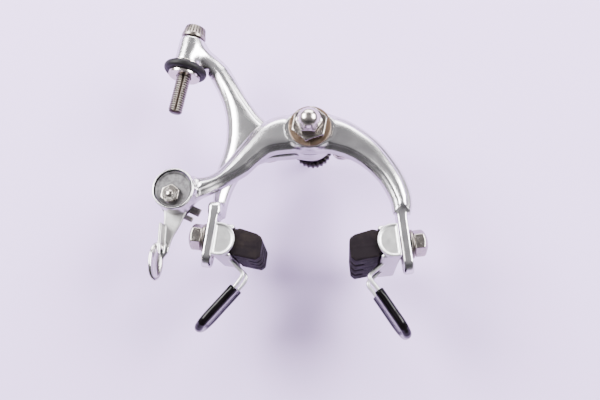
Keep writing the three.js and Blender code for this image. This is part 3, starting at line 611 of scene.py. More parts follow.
def local(g, matrix, mirror=False):
    """Grid coordinates seen from a placed piece's own frame."""
    inv = np.array(matrix.inverted(), dtype=np.float32)
    out = [inv[i, 0] * g.x + inv[i, 1] * g.y + inv[i, 2] * g.z + inv[i, 3] for i in range(3)]
    if mirror:
        out[0] = -out[0]
    return out


def leg(g, label):
    """The fields of a leg's body and of the slot to be cut from it."""
    u, v, w = local(g, leg_matrix(label), SHOES[label]["side"] < 0)
    half_x, half_y = LEG_HALF
    shape = np.where(w < -LEG_END + half_y, hyp(v, w + LEG_END - half_y) - half_y, np.abs(v) - half_y)
    shape = np.maximum(shape, w - LEG_TOP)
    body = rounded(shape, np.abs(u) - half_x, 0.9)
    slot = hyp(v, np.maximum(np.abs(w) - SLOT_TRAVEL, 0)) - SLOT_RADIUS
    return body, slot


# ---------------------------------------------------------------- arms

def faced_boss(g, d, y0, y1):
    """Trims the boss flat front and rear, where the blends would swell into the washers.

    The trim opens steeply outside the boss, so that eye, drum and legs pass it uncut.
    """
    reach = 6.0 * np.maximum(hyp(g.x, g.z) - BOSS_RADIUS - 0.6, 0)
    return smax(d, slab(g.y, y0, y1) - reach, 0.2)


def front_arm():
    g = Grid((-68.5, -34, -64), (48, -15.5, 12), ARM_VOXEL)
    y0, y1 = FRONT_Y
    plan = outline([
        [(-50.0, -21.4)],
        [(-47.0, -21.6), (-42.6, -20.4), (-38.2, -16.8), (-30.7, -7.4), (-23.4, 1.4), (-16.2, 5.9),
         (-8, 7.4)],
        [(0, 8)],
        [(8, 7.2), (17.9, 3.4), (27.7, -3.8), (34.3, -11.4), (40.0, -20.8), (42.8, -29.0),
         (43.2, -34.2)],
        [(42.4, -37.6)], [(35.2, -37.6)], [(34.5, -33.0)],
        [(32.2, -27.6), (28.6, -22.0), (22.9, -16.4), (16.0, -12.2), (9.2, -10.0)],
        [(0, -9.4)],
        [(-9.2, -9.8), (-16.9, -11.0), (-22.4, -15.0), (-27.6, -20.0), (-33.4, -23.6), (-41, -27.8),
         (-47, -30.6)],
        [(-50.0, -32.0)],
    ])
    d = limb(g, plan, y0, y1, front=(6.6, 4.0), rear=(1.8, 1.8), step=0.26, inset=2.7)
    boss = can(g.x, g.z, g.y, y0, y1, BOSS_RADIUS, 0.9)
    d = smin(d, boss, 2.6)
    # the drum stands forward of the limb, and is bored for the cam disc
    drum = can(g.x - DRUM[0], g.z - DRUM[1], g.y, -32.6, -23.2, 9.2, 1.1)
    d = smin(d, drum, 2.4)
    body, slot = leg(g, "right")
    d = smin(d, body, 1.2)
    d = smax(d, -slot, 0.4)
    d = faced_boss(g, d, y0, y1)
    d = smax(d, -(hyp(g.x, g.z) - BOLT_HOLE), 0.3)
    bore = np.maximum(hyp(g.x - DRUM[0], g.z - DRUM[1]) - 8.2, g.y + 22.2)
    d = smax(d, -bore, 0.5)
    d = smax(d, -can(g.x - PEG_X, g.z - PEG_Z, g.y, y1 - PEG_DEPTH, y1 + 4, PEG_HOLE), 0.3)
    return skin(d, g)


def barrel_frame(g):
    """Coordinates across (a, b) and along (s) the adjuster's axis."""
    c, s = math.cos(ADJ_LEAN), math.sin(ADJ_LEAN)
    x, y, z = g.x - ADJ_AT[0], g.y - ADJ_AT[1], g.z - ADJ_AT[2]
    return x * c - z * s, y, x * s + z * c


def rear_arm():
    g = Grid((-65, -30.5, -62.5), (11.5, -11.5, 49), ARM_VOXEL)
    y0, y1 = REAR_Y
    plan = outline([
        [(-58.5, 37.6)],
        [(-54.5, 38.4), (-51.0, 36.6), (-47.0, 30.6), (-42.6, 21.0), (-39.6, 10.8), (-38.8, 1.6),
         (-39.7, -6.6), (-41.9, -14.4), (-43.2, -24.0), (-43.4, -37.0)],
        [(-37.8, -37.0)],
        [(-36.3, -28.0), (-33.1, -20.0), (-28.4, -14.2), (-20.4, -10.7), (-9.2, -9.4), (0, -8.4)],
        [(0, 8.0)],
        [(-9.2, 5.6), (-16.4, 6.0), (-22.6, 9.6), (-29.0, 18.0), (-39.0, 33.0), (-46.2, 41.6),
         (-51.5, 45.4), (-58.5, 46.0)],
    ])
    d = limb(g, plan, y0, y1, front=(7.2, 4.2), rear=(1.8, 1.8), step=0.16, inset=3.0)
    d = smin(d, can(g.x, g.z, g.y, y0, y1, BOSS_RADIUS, 0.8), 2.4)
    a, b, s = barrel_frame(g)
    d = smin(d, can(a, b, s, -6, 6, 5.8, 0.7), 5.0)
    # the neck sweeps forward from the limb into the side of the eye
    eye_side, bend, root = (-54.0, -22.4, 42.0), (-43.5, -17.5, 32.6), (-37.0, -13.5, 21.0)
    neck = capsule((g.x, g.y, g.z), eye_side, bend, 3.4)
    neck = np.minimum(neck, capsule((g.x, g.y, g.z), bend, root, 3.4))
    neck = smax(neck, g.y - y1, 0.6)
    d = smin(d, neck, 4.0)
    # room for the nut and its grip ring under the eye, and for the barrel's head over it
    d = smax(d, -np.maximum(hyp(a, b) - 10.3, slab(s, -14.0, -6.05)), 0.3)
    d = smax(d, -np.maximum(hyp(a, b) - 6.4, slab(s, 6.05, 14.0)), 0.3)
    knee = box3(g.x, g.y, g.z, (-43.3, y0 - 7.0, -38.6), (-37.2, y0 + 3, -32.4), 1.8)
    d = smin(d, knee, 2.6)
    body, slot = leg(g, "left")
    d = smin(d, body, 1.1)
    d = smax(d, -slot, 0.4)
    d = faced_boss(g, d, y0, y1)
    d = smax(d, -(hyp(g.x, g.z) - BOLT_HOLE), 0.3)
    d = smax(d, -np.maximum(hyp(a, b) - 3.5, np.abs(s) - 9), 0.4)
    d = smax(d, -can(g.x + PEG_X, g.z - PEG_Z, g.y, y1 - PEG_DEPTH, y1 + 4, PEG_HOLE), 0.3)
    return skin(d, g)


make("front_arm_polished", "front_arm", "front_arm", ALUMINIUM, front_arm())
make("rear_arm_polished", "rear_arm", "rear_arm", ALUMINIUM, rear_arm())

# ---------------------------------------------------------------- the stack on the centre bolt


def nut_y(name, node, body, material, flats, y0, y1, turn, bore=BOLT_HOLE, at=(0.0, 0.0),
          dome=None, chamfer_front=0.55):
    """A hexagon nut along Y: corners turned off front and rear, and a domed cap if asked for.

    dome is the cap's (tip Y, radius).
    """
    step = 0.13 * FINE
    top = y0 if dome is None else dome[0]
    r = flats / math.sqrt(3) + 0.4
    g = Grid((-r, top - 0.5, -r), (r, y1 + 0.5, r), step)
    rad = hyp(g.x, g.z)
    d = smax(hexagon(g.x, g.z, flats, turn), slab(g.y, y0, y1), 0.25)
    chamfer_rear = 0.4
    for chamfer, beyond in ((chamfer_front, y0 - g.y), (chamfer_rear, g.y - y1)):
        corner = flats / 2 + chamfer * 0.35
        d = smax(d, (rad - corner) * 0.5 + beyond * 0.87 - 0.05, 0.2)
    if dome is not None:
        tip, radius = dome
        height = y0 - tip
        stem = np.maximum(rad - radius, np.abs(g.y - y0) - 1.5)
        flatness = height / radius
        ball = (np.sqrt(rad ** 2 + ((g.y - y0) / flatness) ** 2) - radius) * min(1, flatness)
        d = smin(d, np.minimum(smax(ball, g.y - y0 - 0.5, 0.1), stem), 0.35)
    hole = rad - bore
    if dome is not None:
        # a cap nut's hole is blind
        hole = np.maximum(hole, (y1 - 6.0) - g.y)
    d = smax(d, -hole, 0.2)
    v, f, n = skin(d, g)
    return make(name, node, body, material, (v + (at[0], 0, at[1]), f, n))


def ring_y(name, node, body, material, inner, outer, at=(0.0, 0.0), r=0.18):
    """A washer along Y, as thick as the node it stands for."""
    lo, hi = span(node)
    v, f = spun([(inner, lo[1]), (outer, lo[1]), (outer, hi[1]), (inner, hi[1])], 128, r, 3)
    v = along_y(v) + (at[0], 0, at[1])
    return make(name, node, body, material, fix(v, f))


lo, hi = span("acorn_nut")
nut_y("acorn_nut_domed", "acorn_nut", "centre_bolt", CHROME, 10.0, hi[1] - 3.6, hi[1],
      math.radians(-33), dome=(lo[1], 4.9))
lo, hi = span("adjusting_nut")
nut_y("thin_nut_bevelled", "adjusting_nut", "centre_bolt", NUT_STEEL, 14.0, lo[1], hi[1],
      math.radians(-10), chamfer_front=0.9)
ring_y("bronze_washer_worn", "bronze_washer", "centre_bolt", BRONZE,
       BOLT_HOLE, WASHER_RADIUS, r=0.3)
for place in ("middle", "rear"):
    ring_y("thrust_washer_" + place, place + "_thrust_washer", "centre_bolt", STEEL,
           BOLT_HOLE, WASHER_RADIUS)


def serrated():
    """The washer behind the rear arm: teeth round its edge and serrations on its front face."""
    y0, y1 = -3.2, 0.0
    teeth = 24
    g = Grid((-9.4, y0 - 0.4, -9.4), (9.4, y1 + 0.4, 9.4), 0.15 * FINE)
    rad = hyp(g.x, g.z)
    angle = np.arctan2(g.z, g.x)
    wave = np.abs(((angle * teeth / (2 * math.pi)) % 1.0) * 2 - 1)
    d = smax(rad - 8.1 - 0.9 * wave, slab(g.y, y0, y1), 0.2)
    cut = (y0 + 0.55 * (1 - wave)) - g.y
    d = smax(d, cut * 0.8, 0.15)
    d = smax(d, -(rad - BOLT_HOLE), 0.2)
    return skin(d, g)


make("serrated_washer_toothed", "serrated_washer", "centre_bolt", DARK, serrated())


def block():
    """The spring block: a round body with a raised nose, and a groove across it for the wire."""
    lo, hi = span("spring_block")
    g = Grid((-7.6, lo[1] - 0.5, -7.6), (7.6, hi[1] + 0.5, 10.8), 0.2 * FINE)
    d = can(g.x, g.z, g.y, lo[1], hi[1], 7.0, 0.5)
    d = smin(d, box3(g.x, g.y, g.z, (-4.5, lo[1], 0), (4.5, hi[1], 10.2), 0.6), 0.6)
    d = smax(d, -np.maximum(hyp(g.y + 8.4, np.minimum(g.z - 7.6, 0)) - 1.4, 6.2 - g.z), 0.3)
    d = smax(d, -(hyp(g.x, g.z) - BOLT_HOLE), 0.3)
    return skin(d, g)


make("spring_block_pressed", "spring_block", "centre_bolt", DARK, block())


def bolt():
    lo, hi = span("centre_bolt")
    v, f = threaded(3.0, lo[1], hi[1], 1.0, 0.32, sides=36, step=0.14)
    return fix(along_y(v), f)


make("centre_bolt_threaded", "centre_bolt", "centre_bolt", STEEL, bolt())


def peg(name, node, body):
    lo, hi = span(node)
    c = middle(node)
    v, f = spun([(0.02, lo[1]), (1.5, lo[1]), (1.5, hi[1]), (0.02, hi[1])], 32, 0.5, 5)
    v = along_y(v) + (c[0], 0, c[2])
    make(name, node, body, NYLON, fix(v, f))


peg("spring_peg_front", "front_spring_peg", "front_arm")
peg("spring_peg_rear", "rear_spring_peg", "rear_arm")


def spring_half(side, end_y):
    """From the arm's peg round a coil beside the bolt and up to the spring block."""
    half_y = (end_y - 10.9) / 2
    pts = [(PEG_X, end_y, -6.0), (22.4, half_y, -8.2), (18.6, half_y, -8.6)]
    coil_x, coil_y, coil_z, coil_radius = 13.6, -10.9, -3.0, 3.8
    for t in np.arange(31) / 30:
        a = -math.pi / 2 - t * 2.5 * math.pi
        pts.append((coil_x + coil_radius * math.cos(a), coil_y + t * 2.5,
                    coil_z + coil_radius * math.sin(a)))
    pts += [(9.0, -8.4, 0.6), (7.0, -8.4, 5.2), (3.6, -8.4, 8.4), (0.0, -8.4, 8.7)]
    path = spline([(side * x, y, z) for x, y, z in pts], 4)
    return swept(path, 0.88, 12)


for label, side, end_y, body in (("left", -1, -10.9, "rear_arm"), ("right", 1, -17.4, "front_arm")):
    half = mesh_of("return_spring_" + label, *spring_half(side, end_y))
    half.data.materials.append(CHROME)
    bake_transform(half)
    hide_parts("return_spring")

# ---------------------------------------------------------------- cable adjuster

THREAD_RADIUS = 3.2
THREAD_DEPTH = 0.52
FLUTES = 22


def on_barrel(verts):
    """From (across, depth, along) about the adjuster's axis to the frame."""
    c, s = math.cos(ADJ_LEAN), math.sin(ADJ_LEAN)
    v = np.array(verts)
    x, y, z = v[:, 0], v[:, 1], v[:, 2]
    return np.stack([x * c + z * s, y, -x * s + z * c], axis=1) + ADJ_AT


def barrel():
    """The adjusting barrel's mesh, and how much painted shade each of its points gets: by its depth in the
    thread, and over the head's fluted band, most in the flutes.

    The thread's pitch is 1.1 mm so that it shows, though the joint moves 1 mm a turn.
    """
    rod = threaded(THREAD_RADIUS, -30.5, 7.6, 1.1, THREAD_DEPTH, sides=72, step=0.125,
                   keyway=(math.radians(-78), 0.75, 0.95))

    def flutes(radius, h, t):
        if radius > 4 and 8.3 < h < 12.3:
            return radius - 0.34 * max(0.0, math.cos(t * FLUTES)) ** 2
        return radius

    head = spun([(2.7, 8.6), (2.7, 12.6), (4.7, 12.6), (5.05, 10.6), (5.4, 9.0), (5.7, 8.1), (5.5, 6.9),
                 (3.0, 6.9), (3.0, 8.6)], 176, 0.22, 3, flutes)
    floor = spun([(1.3, 7.9), (2.9, 7.9), (2.9, 8.6), (1.3, 8.6)], 40, 0.1, 2)
    v, f = joined(rod, head, floor)
    depth = np.zeros(len(v))
    on_rod = len(rod[0])
    depth[:on_rod] = (THREAD_RADIUS - hyp(rod[0][:, 0], rod[0][:, 1])) / THREAD_DEPTH
    hx, hy, hz = np.array(head[0]).T
    # painted shade over the whole fluted band, darkest in the flutes
    ribs = 0.46 + 0.4 * np.maximum(0, np.cos(np.arctan2(hy, hx) * FLUTES)) ** 2
    fluted = (hyp(hx, hy) > 4) & (hz > 8.4) & (hz < 12.4)
    depth[on_rod:on_rod + len(hx)] = np.where(fluted, ribs, 0)
    return (on_barrel(v), f), depth


def nut_lower():
    """The adjuster's nut under the eye: a flange at each end and a waist for the grip ring."""
    top = -6.3
    profile = [(3.5, top), (7.4, top), (7.4, top - 0.9), (6.4, top - 0.9), (6.4, -11.4), (7.4, -11.4),
               (7.1, -12.8), (3.5, -12.8)]
    v, f = spun(profile, 96, 0.25, 3)
    return fix(on_barrel(v), f)


def grip():
    """The rubber ring in the nut's waist, round outside and flat inside."""
    profile = []
    for a in np.linspace(-math.pi / 2, math.pi / 2, 15):
        profile.append((8.3 + 1.6 * math.cos(a), -9.3 + 1.8 * math.sin(a)))
    profile += [(6.7, -7.5), (6.7, -11.1)]
    v, f = spun(profile, 120, 0.1, 2)
    return fix(on_barrel(v), f)


parts, painted_groove_shade = barrel()
screw = make("adjuster_barrel_threaded", "adjuster_barrel", "adjuster_barrel", STEEL, parts)
# the painted shade's weights are kept on the barrel as its groove attribute
screw.data.attributes.new("groove", "FLOAT", "POINT").data.foreach_set("value", np.clip(painted_groove_shade, 0, 1))
make("adjuster_nut_flanged", "adjuster_nut", "adjuster_nut", CHROME, nut_lower())
make("adjuster_grip_ring_round", "adjuster_grip_ring", "adjuster_nut", RUBBER, grip())

# ---------------------------------------------------------------- quick release and cable clamp

CLAMP_HOLE = 2.2


def cam():
    """The quick release's disc: a raised rim round the face, and a hole off centre for the clamp bolt."""
    lo, hi = span("cam_disc")
    g = Grid((-8.2, lo[1] - 0.4, -8.2), (8.2, hi[1] + 0.4, 8.2), 0.17 * FINE)
    rad = hyp(g.x, g.z)
    from_bolt = hyp(g.x - (CLAMP[0] - DRUM[0]), g.z - (CLAMP[1] - DRUM[1]))
    raised_rim = 0.5 * np.clip((rad - 6.9) / 0.35, 0, 1)
    bolt_seat = 0.25 * np.clip((4.4 - from_bolt) / 0.3, 0, 1)
    front = lo[1] + 0.55 - raised_rim + bolt_seat
    d = rounded(rad - 7.9, np.maximum(front - g.y, g.y - hi[1]), 0.3)
    d = smax(d, -(from_bolt - CLAMP_HOLE), 0.2)
    v, f, n = skin(d, g)
    return v + (DRUM[0], 0, DRUM[1]), f, n


make("cam_disc_stippled", "cam_disc", "quick_release", DISC, cam())


def lever():
    """A pressed plate between disc and clamp washer, with a turned edge and a dish for the thumb."""
    lo, hi = span("quick_release_lever")
    g = Grid((lo[0] - 0.6, lo[1] - 0.6, lo[2] - 0.6), (hi[0] + 0.6, hi[1] + 0.6, hi[2] + 0.6), 0.2 * FINE)
    x0, z0 = DRUM
    rear = span("cable_clamp_washer")[0][1] - GAP
    front = rear - 1.6
    plan = outline([
        [(x0 - 7.0, z0)],
        [(x0 - 5.0, z0 + 5.0), (x0, z0 + 7.0), (x0 + 5.0, z0 + 5.0), (x0 + 7.0, z0)],
        [(x0 + 4.6, z0 - 6.6), (x0 + 1.6, -42.0), (x0 - 1.2, -47.6), (x0 - 2.8, -54.0)],
        [(x0 - 4.2, -56.0)], [(x0 - 5.9, -54.0)],
        [(x0 - 5.9, -45.0), (x0 - 5.6, -38.0), (x0 - 7.0, z0)],
    ])
    sheet = polygon(g.x[:, 0, :], g.z[0], plan)[:, None, :]
    d = rounded(sheet, slab(g.y, front, rear), 0.45)
    dimple = np.sqrt((g.x - x0 + 3.4) ** 2 + (g.y - front + 0.2) ** 2 + (g.z + 50.5) ** 2) - 0.75
    d = smax(d, -dimple, 0.3)
    flange = box3(g.x, g.y, g.z, (x0 - 6.1, rear - 7.0, -56.0), (x0 - 4.6, rear, -42.0), 0.6)
    d = smin(d, flange, 1.0)
    t = math.radians(-18)
    px, py, pz = g.x - (x0 - 6.7), g.y - (rear - 4.4), g.z + 58.4
    a = px * math.cos(t) + py * math.sin(t)
    b = -px * math.sin(t) + py * math.cos(t)
    oval = (np.sqrt((b / 5.0) ** 2 + (pz / 8.2) ** 2) - 1) * 5.0
    dish = rounded(oval, np.abs(a) - 0.8, 0.7)
    d = smin(d, dish, 0.9)
    hollow = (np.sqrt(((a - 1.0) / 1.35) ** 2 + (b / 3.7) ** 2 + (pz / 6.7) ** 2) - 1) * 1.3
    d = smax(d, -hollow, 0.35)
    d = smax(d, -(hyp(g.x - CLAMP[0], g.z - CLAMP[1]) - CLAMP_HOLE), 0.2)
    return skin(d, g)


make("quick_release_lever_pressed", "quick_release_lever", "quick_release", SATIN, lever())


def clamp_bolt():
    lo, hi = span("cable_clamp_bolt")
    head_rear = span("cam_disc")[0][1] - GAP
    head_front = head_rear - 1.6
    g = Grid((-4.7, head_rear - 2.1, -4.7), (4.7, head_rear + 0.5, 4.7), 0.12 * FINE)
    rad = hyp(g.x, g.z)
    d = smax(hexagon(g.x, g.z, 7.4, math.radians(-8)), slab(g.y, head_front, head_rear), 0.25)
    d = smax(d, (rad - 3.75) * 0.5 + (head_front - g.y) * 0.87, 0.2)
    head_verts, head_faces, _ = skin(d, g)
    rod_verts, rod_faces = threaded(1.9, lo[1], hi[1], 0.7, 0.22, sides=32, step=0.1)
    verts, faces = joined((head_verts, head_faces), fix(along_y(rod_verts), rod_faces))
    return verts + (CLAMP[0], 0, CLAMP[1]), faces


make("cable_clamp_bolt_hex", "cable_clamp_bolt", "cable_clamp", NUT_STEEL, clamp_bolt())
ring_y("cable_clamp_washer_round", "cable_clamp_washer", "cable_clamp", DARK,
       CLAMP_HOLE, 7.4, at=CLAMP)


def clamp_plate():
    """A round plate with two prongs, as its mesh and its placing matrix."""
    lo, hi = span("cable_clamp_plate")
    g = Grid((-6.4, lo[1] - 0.4, -8.6), (12.4, hi[1] + 0.4, 8.6), 0.17 * FINE)
    d = can(g.x, g.z, g.y, lo[1], hi[1], 5.6, 0.3)
    for x, z0, z1 in ((11.2, -2.2, 1.4), (9.6, -5.6, -3.4)):
        d = smin(d, box3(g.x, g.y, g.z, (0, lo[1], z0), (x, hi[1], z1), 0.3), 0.4)
    d = smax(d, -(hyp(g.x, g.z) - CLAMP_HOLE), 0.2)
    place = Matrix.Translation((CLAMP[0], 0, CLAMP[1])) @ Matrix.Rotation(math.radians(24), 4, "Y")
    return skin(d, g), place


plate_mesh, plate_place = clamp_plate()
make("cable_clamp_plate_forked", "cable_clamp_plate", "cable_clamp", CLAMP_STEEL,
     plate_mesh, plate_place)
lo, hi = span("cable_clamp_nut")
nut_y("cable_clamp_nut_bevelled", "cable_clamp_nut", "cable_clamp", STEEL, 8.0, lo[1], hi[1],
      0.0, bore=CLAMP_HOLE, at=CLAMP)

# ---------------------------------------------------------------- brake shoes
# Drawn for the right-hand side: X outboard from the leg, Y along the rim, Z up the leg.

HOLDER_BACK = -4.3
HOLDER_LIP = -12.0
HOLDER_HALF_HEIGHT = 6.5
DROP = -2.5  # the height of the holder's middle from the stud's axis
PAD_FACE = -23.5
FRONT_END = -24.5


def shoe_nut():
    """A hexagon nut with a domed outer face."""
    inner, outer = 3.7, 9.5
    g = Grid((inner - 0.4, -6.1, -6.1), (outer + 0.4, 6.1, 6.1), 0.14 * FINE)
    rad = hyp(g.y, g.z)
    d = smax(hexagon(g.y, g.z, 10.0, 0.0), slab(g.x, inner, outer), 0.3)
    dome_radius = 9.4
    d = smax(d, np.sqrt((g.x - outer + dome_radius) ** 2 + rad ** 2) - dome_radius, 0.35)
    d = smax(d, (rad - 5.35) * 0.5 + (inner - g.x) * 0.87, 0.2)
    d = smax(d, -np.maximum(rad - 3.3, g.x - outer + 0.8), 0.2)
    return skin(d, g)


def shoe_washer(x0, thickness):
    v, f = spun([(3.3, x0), (6.0, x0), (6.0, x0 + thickness), (3.3, x0 + thickness)], 80, 0.2, 3)
    return fix(along_x(v), f)


def holder():
    """A trough open towards the rim, with an end plate in front, a stud and two small slots."""
    g = Grid((-13.4, FRONT_END - 0.4, -10.0), (9.0, 23.6, 5.8), 0.24 * FINE)
    z = g.z - DROP
    y0, y1 = -23.0, 23.0
    back = HOLDER_BACK
    outer = box3(g.x, g.y, z, (HOLDER_LIP, y0, -HOLDER_HALF_HEIGHT), (back, y1, HOLDER_HALF_HEIGHT), 0.9)
    inner_half = HOLDER_HALF_HEIGHT - 1.6
    inner = box3(g.x, g.y, z, (HOLDER_LIP - 4, y0 - 4, -inner_half), (back - 2.0, y1 + 4, inner_half), 0.5)
    d = smax(outer, -inner, 0.4)
    # front end plate, half round towards the rim, with a raised edge
    straight = slab(z, -HOLDER_HALF_HEIGHT, HOLDER_HALF_HEIGHT)
    centre = -7.0
    reach = 5.8
    bulge = (np.sqrt(((g.x - centre) / reach) ** 2 + (z / HOLDER_HALF_HEIGHT) ** 2) - 1) * reach
    plan = np.where(g.x < centre, bulge, np.maximum(straight, g.x - back))
    plate = rounded(plan, slab(g.y, FRONT_END + 0.45, y0 + 0.2), 0.3)
    rim = rounded(np.maximum(plan, -plan - 0.95), slab(g.y, FRONT_END, y0 + 0.2), 0.35)
    d = smin(d, smin(plate, rim, 0.25), 0.3)
    stud = can(g.y, g.z, g.x, back - 1.0, 8.3, 3.0, 0.3)
    d = smin(d, stud, 0.4)
    d = smin(d, can(g.y, g.z, g.x, back - 0.8, back, 5.2, 0.1), 0.2)
    for y in (-9.5, 9.5):
        d = smax(d, -capsule((g.x, g.y, g.z), (-10.0, y, -7.0), (-13.5, y, -10.8), 1.3), 0.3)
    return skin(d, g)


def pad():
    """The rubber block: one cross-section along the rim, with three cuts across its face."""
    g = Grid((PAD_FACE - 0.5, -23.2, -9.8), (-6.0, 24.4, 4.2), 0.26 * FINE)
    z = g.z - DROP
    section = [(-6.6, -4.6), (-6.6, 4.6), (-11.5, 4.6), (-14.1, 5.5), (-21.1, 4.2), (-22.9, 3.2),
               (PAD_FACE, 2.0), (PAD_FACE, -4.6), (-21.9, -6.2), (-12.7, -5.5), (-12.3, -4.6)]
    plan = polygon(g.x[:, 0, :], z[0], section)[:, None, :]
    d = rounded(plan, slab(g.y, -22.7, 23.8), 0.55)
    for step in (-1, 0, 1):
        y = 0.55 + step * 11.625
        cut = box3(g.x, g.y, z, (PAD_FACE - 2, y - 1, -12), (PAD_FACE + 5.0, y + 1, 12), 0.6)
        d = smax(d, -cut, 0.4)
    # a moulding line, which stands proud only across the two ends
    line = box3(g.x, g.y, z, (PAD_FACE + 0.4, -22.95, -1.05), (-12.9, 24.0, -0.75), 0.1)
    return skin(smin(d, line, 0.35), g)


# the guide wire's route beside the pad and down into its sleeve, in (x, z)
GUIDES = {
    "left": dict(start=(-10.0, -7.9), knee=(-17.0, -13.8), mouth=(-13.9, -19.4), tip=(-1.6, -37.4)),
    "right": dict(start=(-10.0, -7.9), knee=(-17.2, -13.2), mouth=(-13.9, -18.8), tip=(-4.6, -36.6)),
}
SPREAD = 9.5


def between(a, b, t):
    """The point a share t of the way from a to b."""
    return tuple(p + (q - p) * t for p, q in zip(a, b))


def guide_path(label):
    """The wire's points, down one side and back up the other, drawn in towards the tip."""
    gd = GUIDES[label]
    start, knee, mouth, tip = gd["start"], gd["knee"], gd["mouth"], gd["tip"]
    length = math.hypot(tip[0] - mouth[0], tip[1] - mouth[1])
    steps = [(start, 0), (between(start, knee, 0.5), 0), (between(knee, start, 0.13), 0),
             (between(knee, mouth, 0.22), 0), (mouth, 0), (between(mouth, tip, 0.5), 0),
             (between(tip, mouth, 4.8 / length), 0), (between(tip, mouth, 1.6 / length), 2.2),
             (tip, 5.4)]
    down = [(x, inward - SPREAD, z) for (x, z), inward in steps]
    up = [(x, -y, z) for x, y, z in down[::-1]]
    return down + up


def guide_wire(label):
    return swept(spline(guide_path(label), 7), 0.93, 14)


def guide_sleeve(label):
    """The plastic sleeve over the wire's lower loop: two tubes, a web between them, open mouths."""
    gd = GUIDES[label]
    mouth, tip = np.array(gd["mouth"]), np.array(gd["tip"])
    axis = tip - mouth
    length = float(np.linalg.norm(axis))
    axis /= length
    lo = np.minimum(mouth, tip) - 3.0
    hi = np.maximum(mouth, tip) + 3.0
    g = Grid((lo[0], -12.4, lo[1]), (hi[0], 12.4, hi[1]), 0.26 * FINE)
    p = (g.x, g.y, g.z)
    pts = spline(guide_path(label), 6)
    inside = [q for q in pts if (q[0] - mouth[0]) * axis[0] + (q[2] - mouth[1]) * axis[1] > -0.2]
    coarse = inside[::3] + [inside[-1]]
    d = None
    for a, b in zip(coarse, coarse[1:]):
        if np.linalg.norm(np.array(a) - b) < 1e-6:
            continue
        c = capsule(p, a, b, 1.88)
        d = c if d is None else np.minimum(d, c)
    along = (g.x - mouth[0]) * axis[0] + (g.z - mouth[1]) * axis[1]
    across = -(g.x - mouth[0]) * axis[1] + (g.z - mouth[1]) * axis[0]
    web = rounded(np.maximum(np.abs(across) - 1.1, np.abs(g.y) - SPREAD), slab(along, 0, length - 2.4), 0.2)
    d = smin(d, web, 1.2)
    d = smax(d, -along, 0.5)
    for y in (-SPREAD, SPREAD):
        bore = np.maximum(hyp(across, g.y - y) - 1.25, along - 2.5)
        d = smax(d, -bore, 0.25)
    return skin(d, g)


outer_washer = shoe_washer(2.4, 1.0)
inner_washer = shoe_washer(-4.0, 1.6)
nut_mesh, holder_mesh, pad_mesh = shoe_nut(), holder(), pad()
for label in ("left", "right"):
    mirror = SHOES[label]["side"] < 0
    mount, shoe = leg_matrix(label), leg_matrix(label, True)
    upper, lower = label + "_shoe_mount", label + "_shoe"
    wire_mesh, sleeve_mesh = guide_wire(label), guide_sleeve(label)
    for name, node, body, place, slot, material, mesh in (
            ("_nut_domed", "_shoe_nut", upper, mount, "bright_chrome", NUT_STEEL, nut_mesh),
            ("_washer_outer", "_shoe_outer_washer", upper, mount, "bolt_steel", STEEL, outer_washer),
            ("_washer_inner", "_shoe_inner_washer", lower, shoe, "bolt_steel", STEEL, inner_washer),
            ("_holder_trough", "_shoe_holder", lower, shoe, "bright_chrome", HOLDER, holder_mesh),
            ("_pad_moulded", "_brake_pad", lower, shoe, "pad_rubber", PAD, pad_mesh),
            ("_wire_bent", "_guide_wire", lower, shoe, "bright_chrome", HOLDER, wire_mesh),
            ("_sleeve_moulded", "_guide_sleeve", lower, shoe, "black_plastic", PLASTIC, sleeve_mesh)):
        make(label + name, label + node, body, material, mesh, place, mirror)

# ---------------------------------------------------------------- studio

def backdrop():
    """Pale paper close behind the caliper, which can be seen through from its back."""
    half = 1.6
    y = 0.0165
    corners = [(-half, y, -half), (half, y, -half), (half, y, half), (-half, y, half)]
    data = bpy.data.meshes.new("backdrop")
    data.from_pydata(corners, [], [(0, 1, 2, 3)])
    sheet = bpy.data.objects.new("backdrop", data)
    bpy.context.scene.collection.objects.link(sheet)
    m = bpy.data.materials.new("backdrop_paper")
    m.use_nodes = True
    nodes, links = nodes_of(m)
    bsdf = nodes["Principled BSDF"]
    bsdf.inputs["Base Color"].default_value = (0.72, 0.54, 0.94, 1)
    bsdf.inputs["Roughness"].default_value = 0.9
    bsdf.inputs["Specular IOR Level"].default_value = 0.1
    clear = nodes.new("ShaderNodeBsdfTransparent")
    mix = nodes.new("ShaderNodeMixShader")
    geometry = nodes.new("ShaderNodeNewGeometry")
    links.new(geometry.outputs["Backfacing"], mix.inputs[0])
    links.new(bsdf.outputs[0], mix.inputs[1])
    links.new(clear.outputs[0], mix.inputs[2])
    links.new(mix.outputs[0], nodes["Material Output"].inputs["Surface"])
    data.materials.append(m)


def softbox(name, at, aim, size, power):
    light = bpy.data.lights.new(name, "AREA")
    light.shape = "RECTANGLE"
    light.size, light.size_y = size
    light.energy = power
    obj = bpy.data.objects.new(name, light)
    obj.location = at
    obj.rotation_euler = (Vector(aim) - Vector(at)).to_track_quat("-Z", "Y").to_euler()
    bpy.context.scene.collection.objects.link(obj)


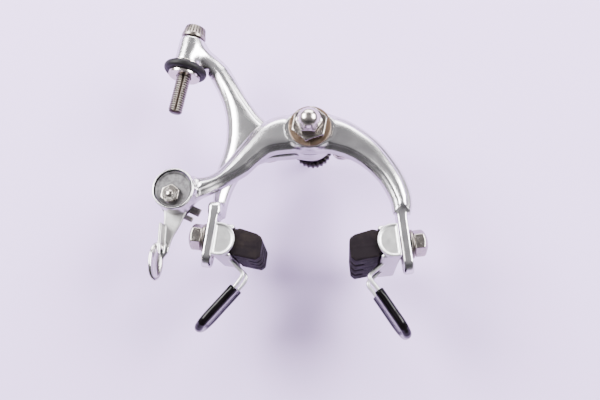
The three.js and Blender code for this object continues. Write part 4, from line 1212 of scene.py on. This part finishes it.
def room():
    """Surroundings that metal mirrors, in bands from behind the camera (0) to behind the paper (1)."""
    world = bpy.data.worlds.new("studio_world")
    bpy.context.scene.world = world
    world.use_nodes = True
    nodes, links = nodes_of(world)
    place = nodes.new("ShaderNodeTexCoord")
    split = nodes.new("ShaderNodeSeparateXYZ")
    ramp = nodes.new("ShaderNodeValToRGB")
    scale = nodes.new("ShaderNodeMapRange")
    scale.inputs["From Min"].default_value = -1.0
    links.new(place.outputs["Generated"], split.inputs[0])
    links.new(split.outputs["Y"], scale.inputs["Value"])
    links.new(scale.outputs["Result"], ramp.inputs["Fac"])
    # a lit far end, a dim band that gives the metal its dark streaks, and the bright side of the paper
    stops = ((0.0, 0.56), (0.06, 0.46), (0.17, 0.11), (0.32, 0.24), (0.46, 0.60), (1.0, 0.7))
    elements = ramp.color_ramp.elements
    for element, (position, level) in zip(list(elements) + [elements.new(0.5) for _ in stops[2:]], stops):
        element.position = position
        element.color = (level, level * 0.98, level * 1.04, 1)
    links.new(ramp.outputs["Color"], nodes["Background"].inputs["Color"])
    nodes["Background"].inputs["Strength"].default_value = 0.55


backdrop()
softbox("softbox_left", (-0.62, -0.62, 0.20), (0, 0, -0.01), (0.42, 0.6), 23)
softbox("softbox_right", (0.66, -0.60, 0.16), (0, 0, -0.01), (0.40, 0.6), 22)
softbox("softbox_top", (0.0, -0.42, 0.75), (0, 0, 0), (0.9, 0.35), 14)
room()


def camera():
    """Looks along +Y from in front and below, turned about Z and then tilted up about X."""
    turn = Matrix.Rotation(math.radians(4.04800), 4, "Z")
    tilt = Matrix.Rotation(math.radians(15.84960), 4, "X")
    level_view = Matrix.Rotation(math.pi / 2, 4, "X")
    data = bpy.data.cameras.new("camera")
    data.sensor_width = 36.0
    data.lens = 39.0
    data.clip_start = 0.01
    obj = bpy.data.objects.new("camera", data)
    obj.matrix_world = Matrix.Translation((0.0155, -0.2909, -0.1068)) @ tilt @ turn @ level_view
    bpy.context.scene.collection.objects.link(obj)
    bpy.context.scene.camera = obj


camera()
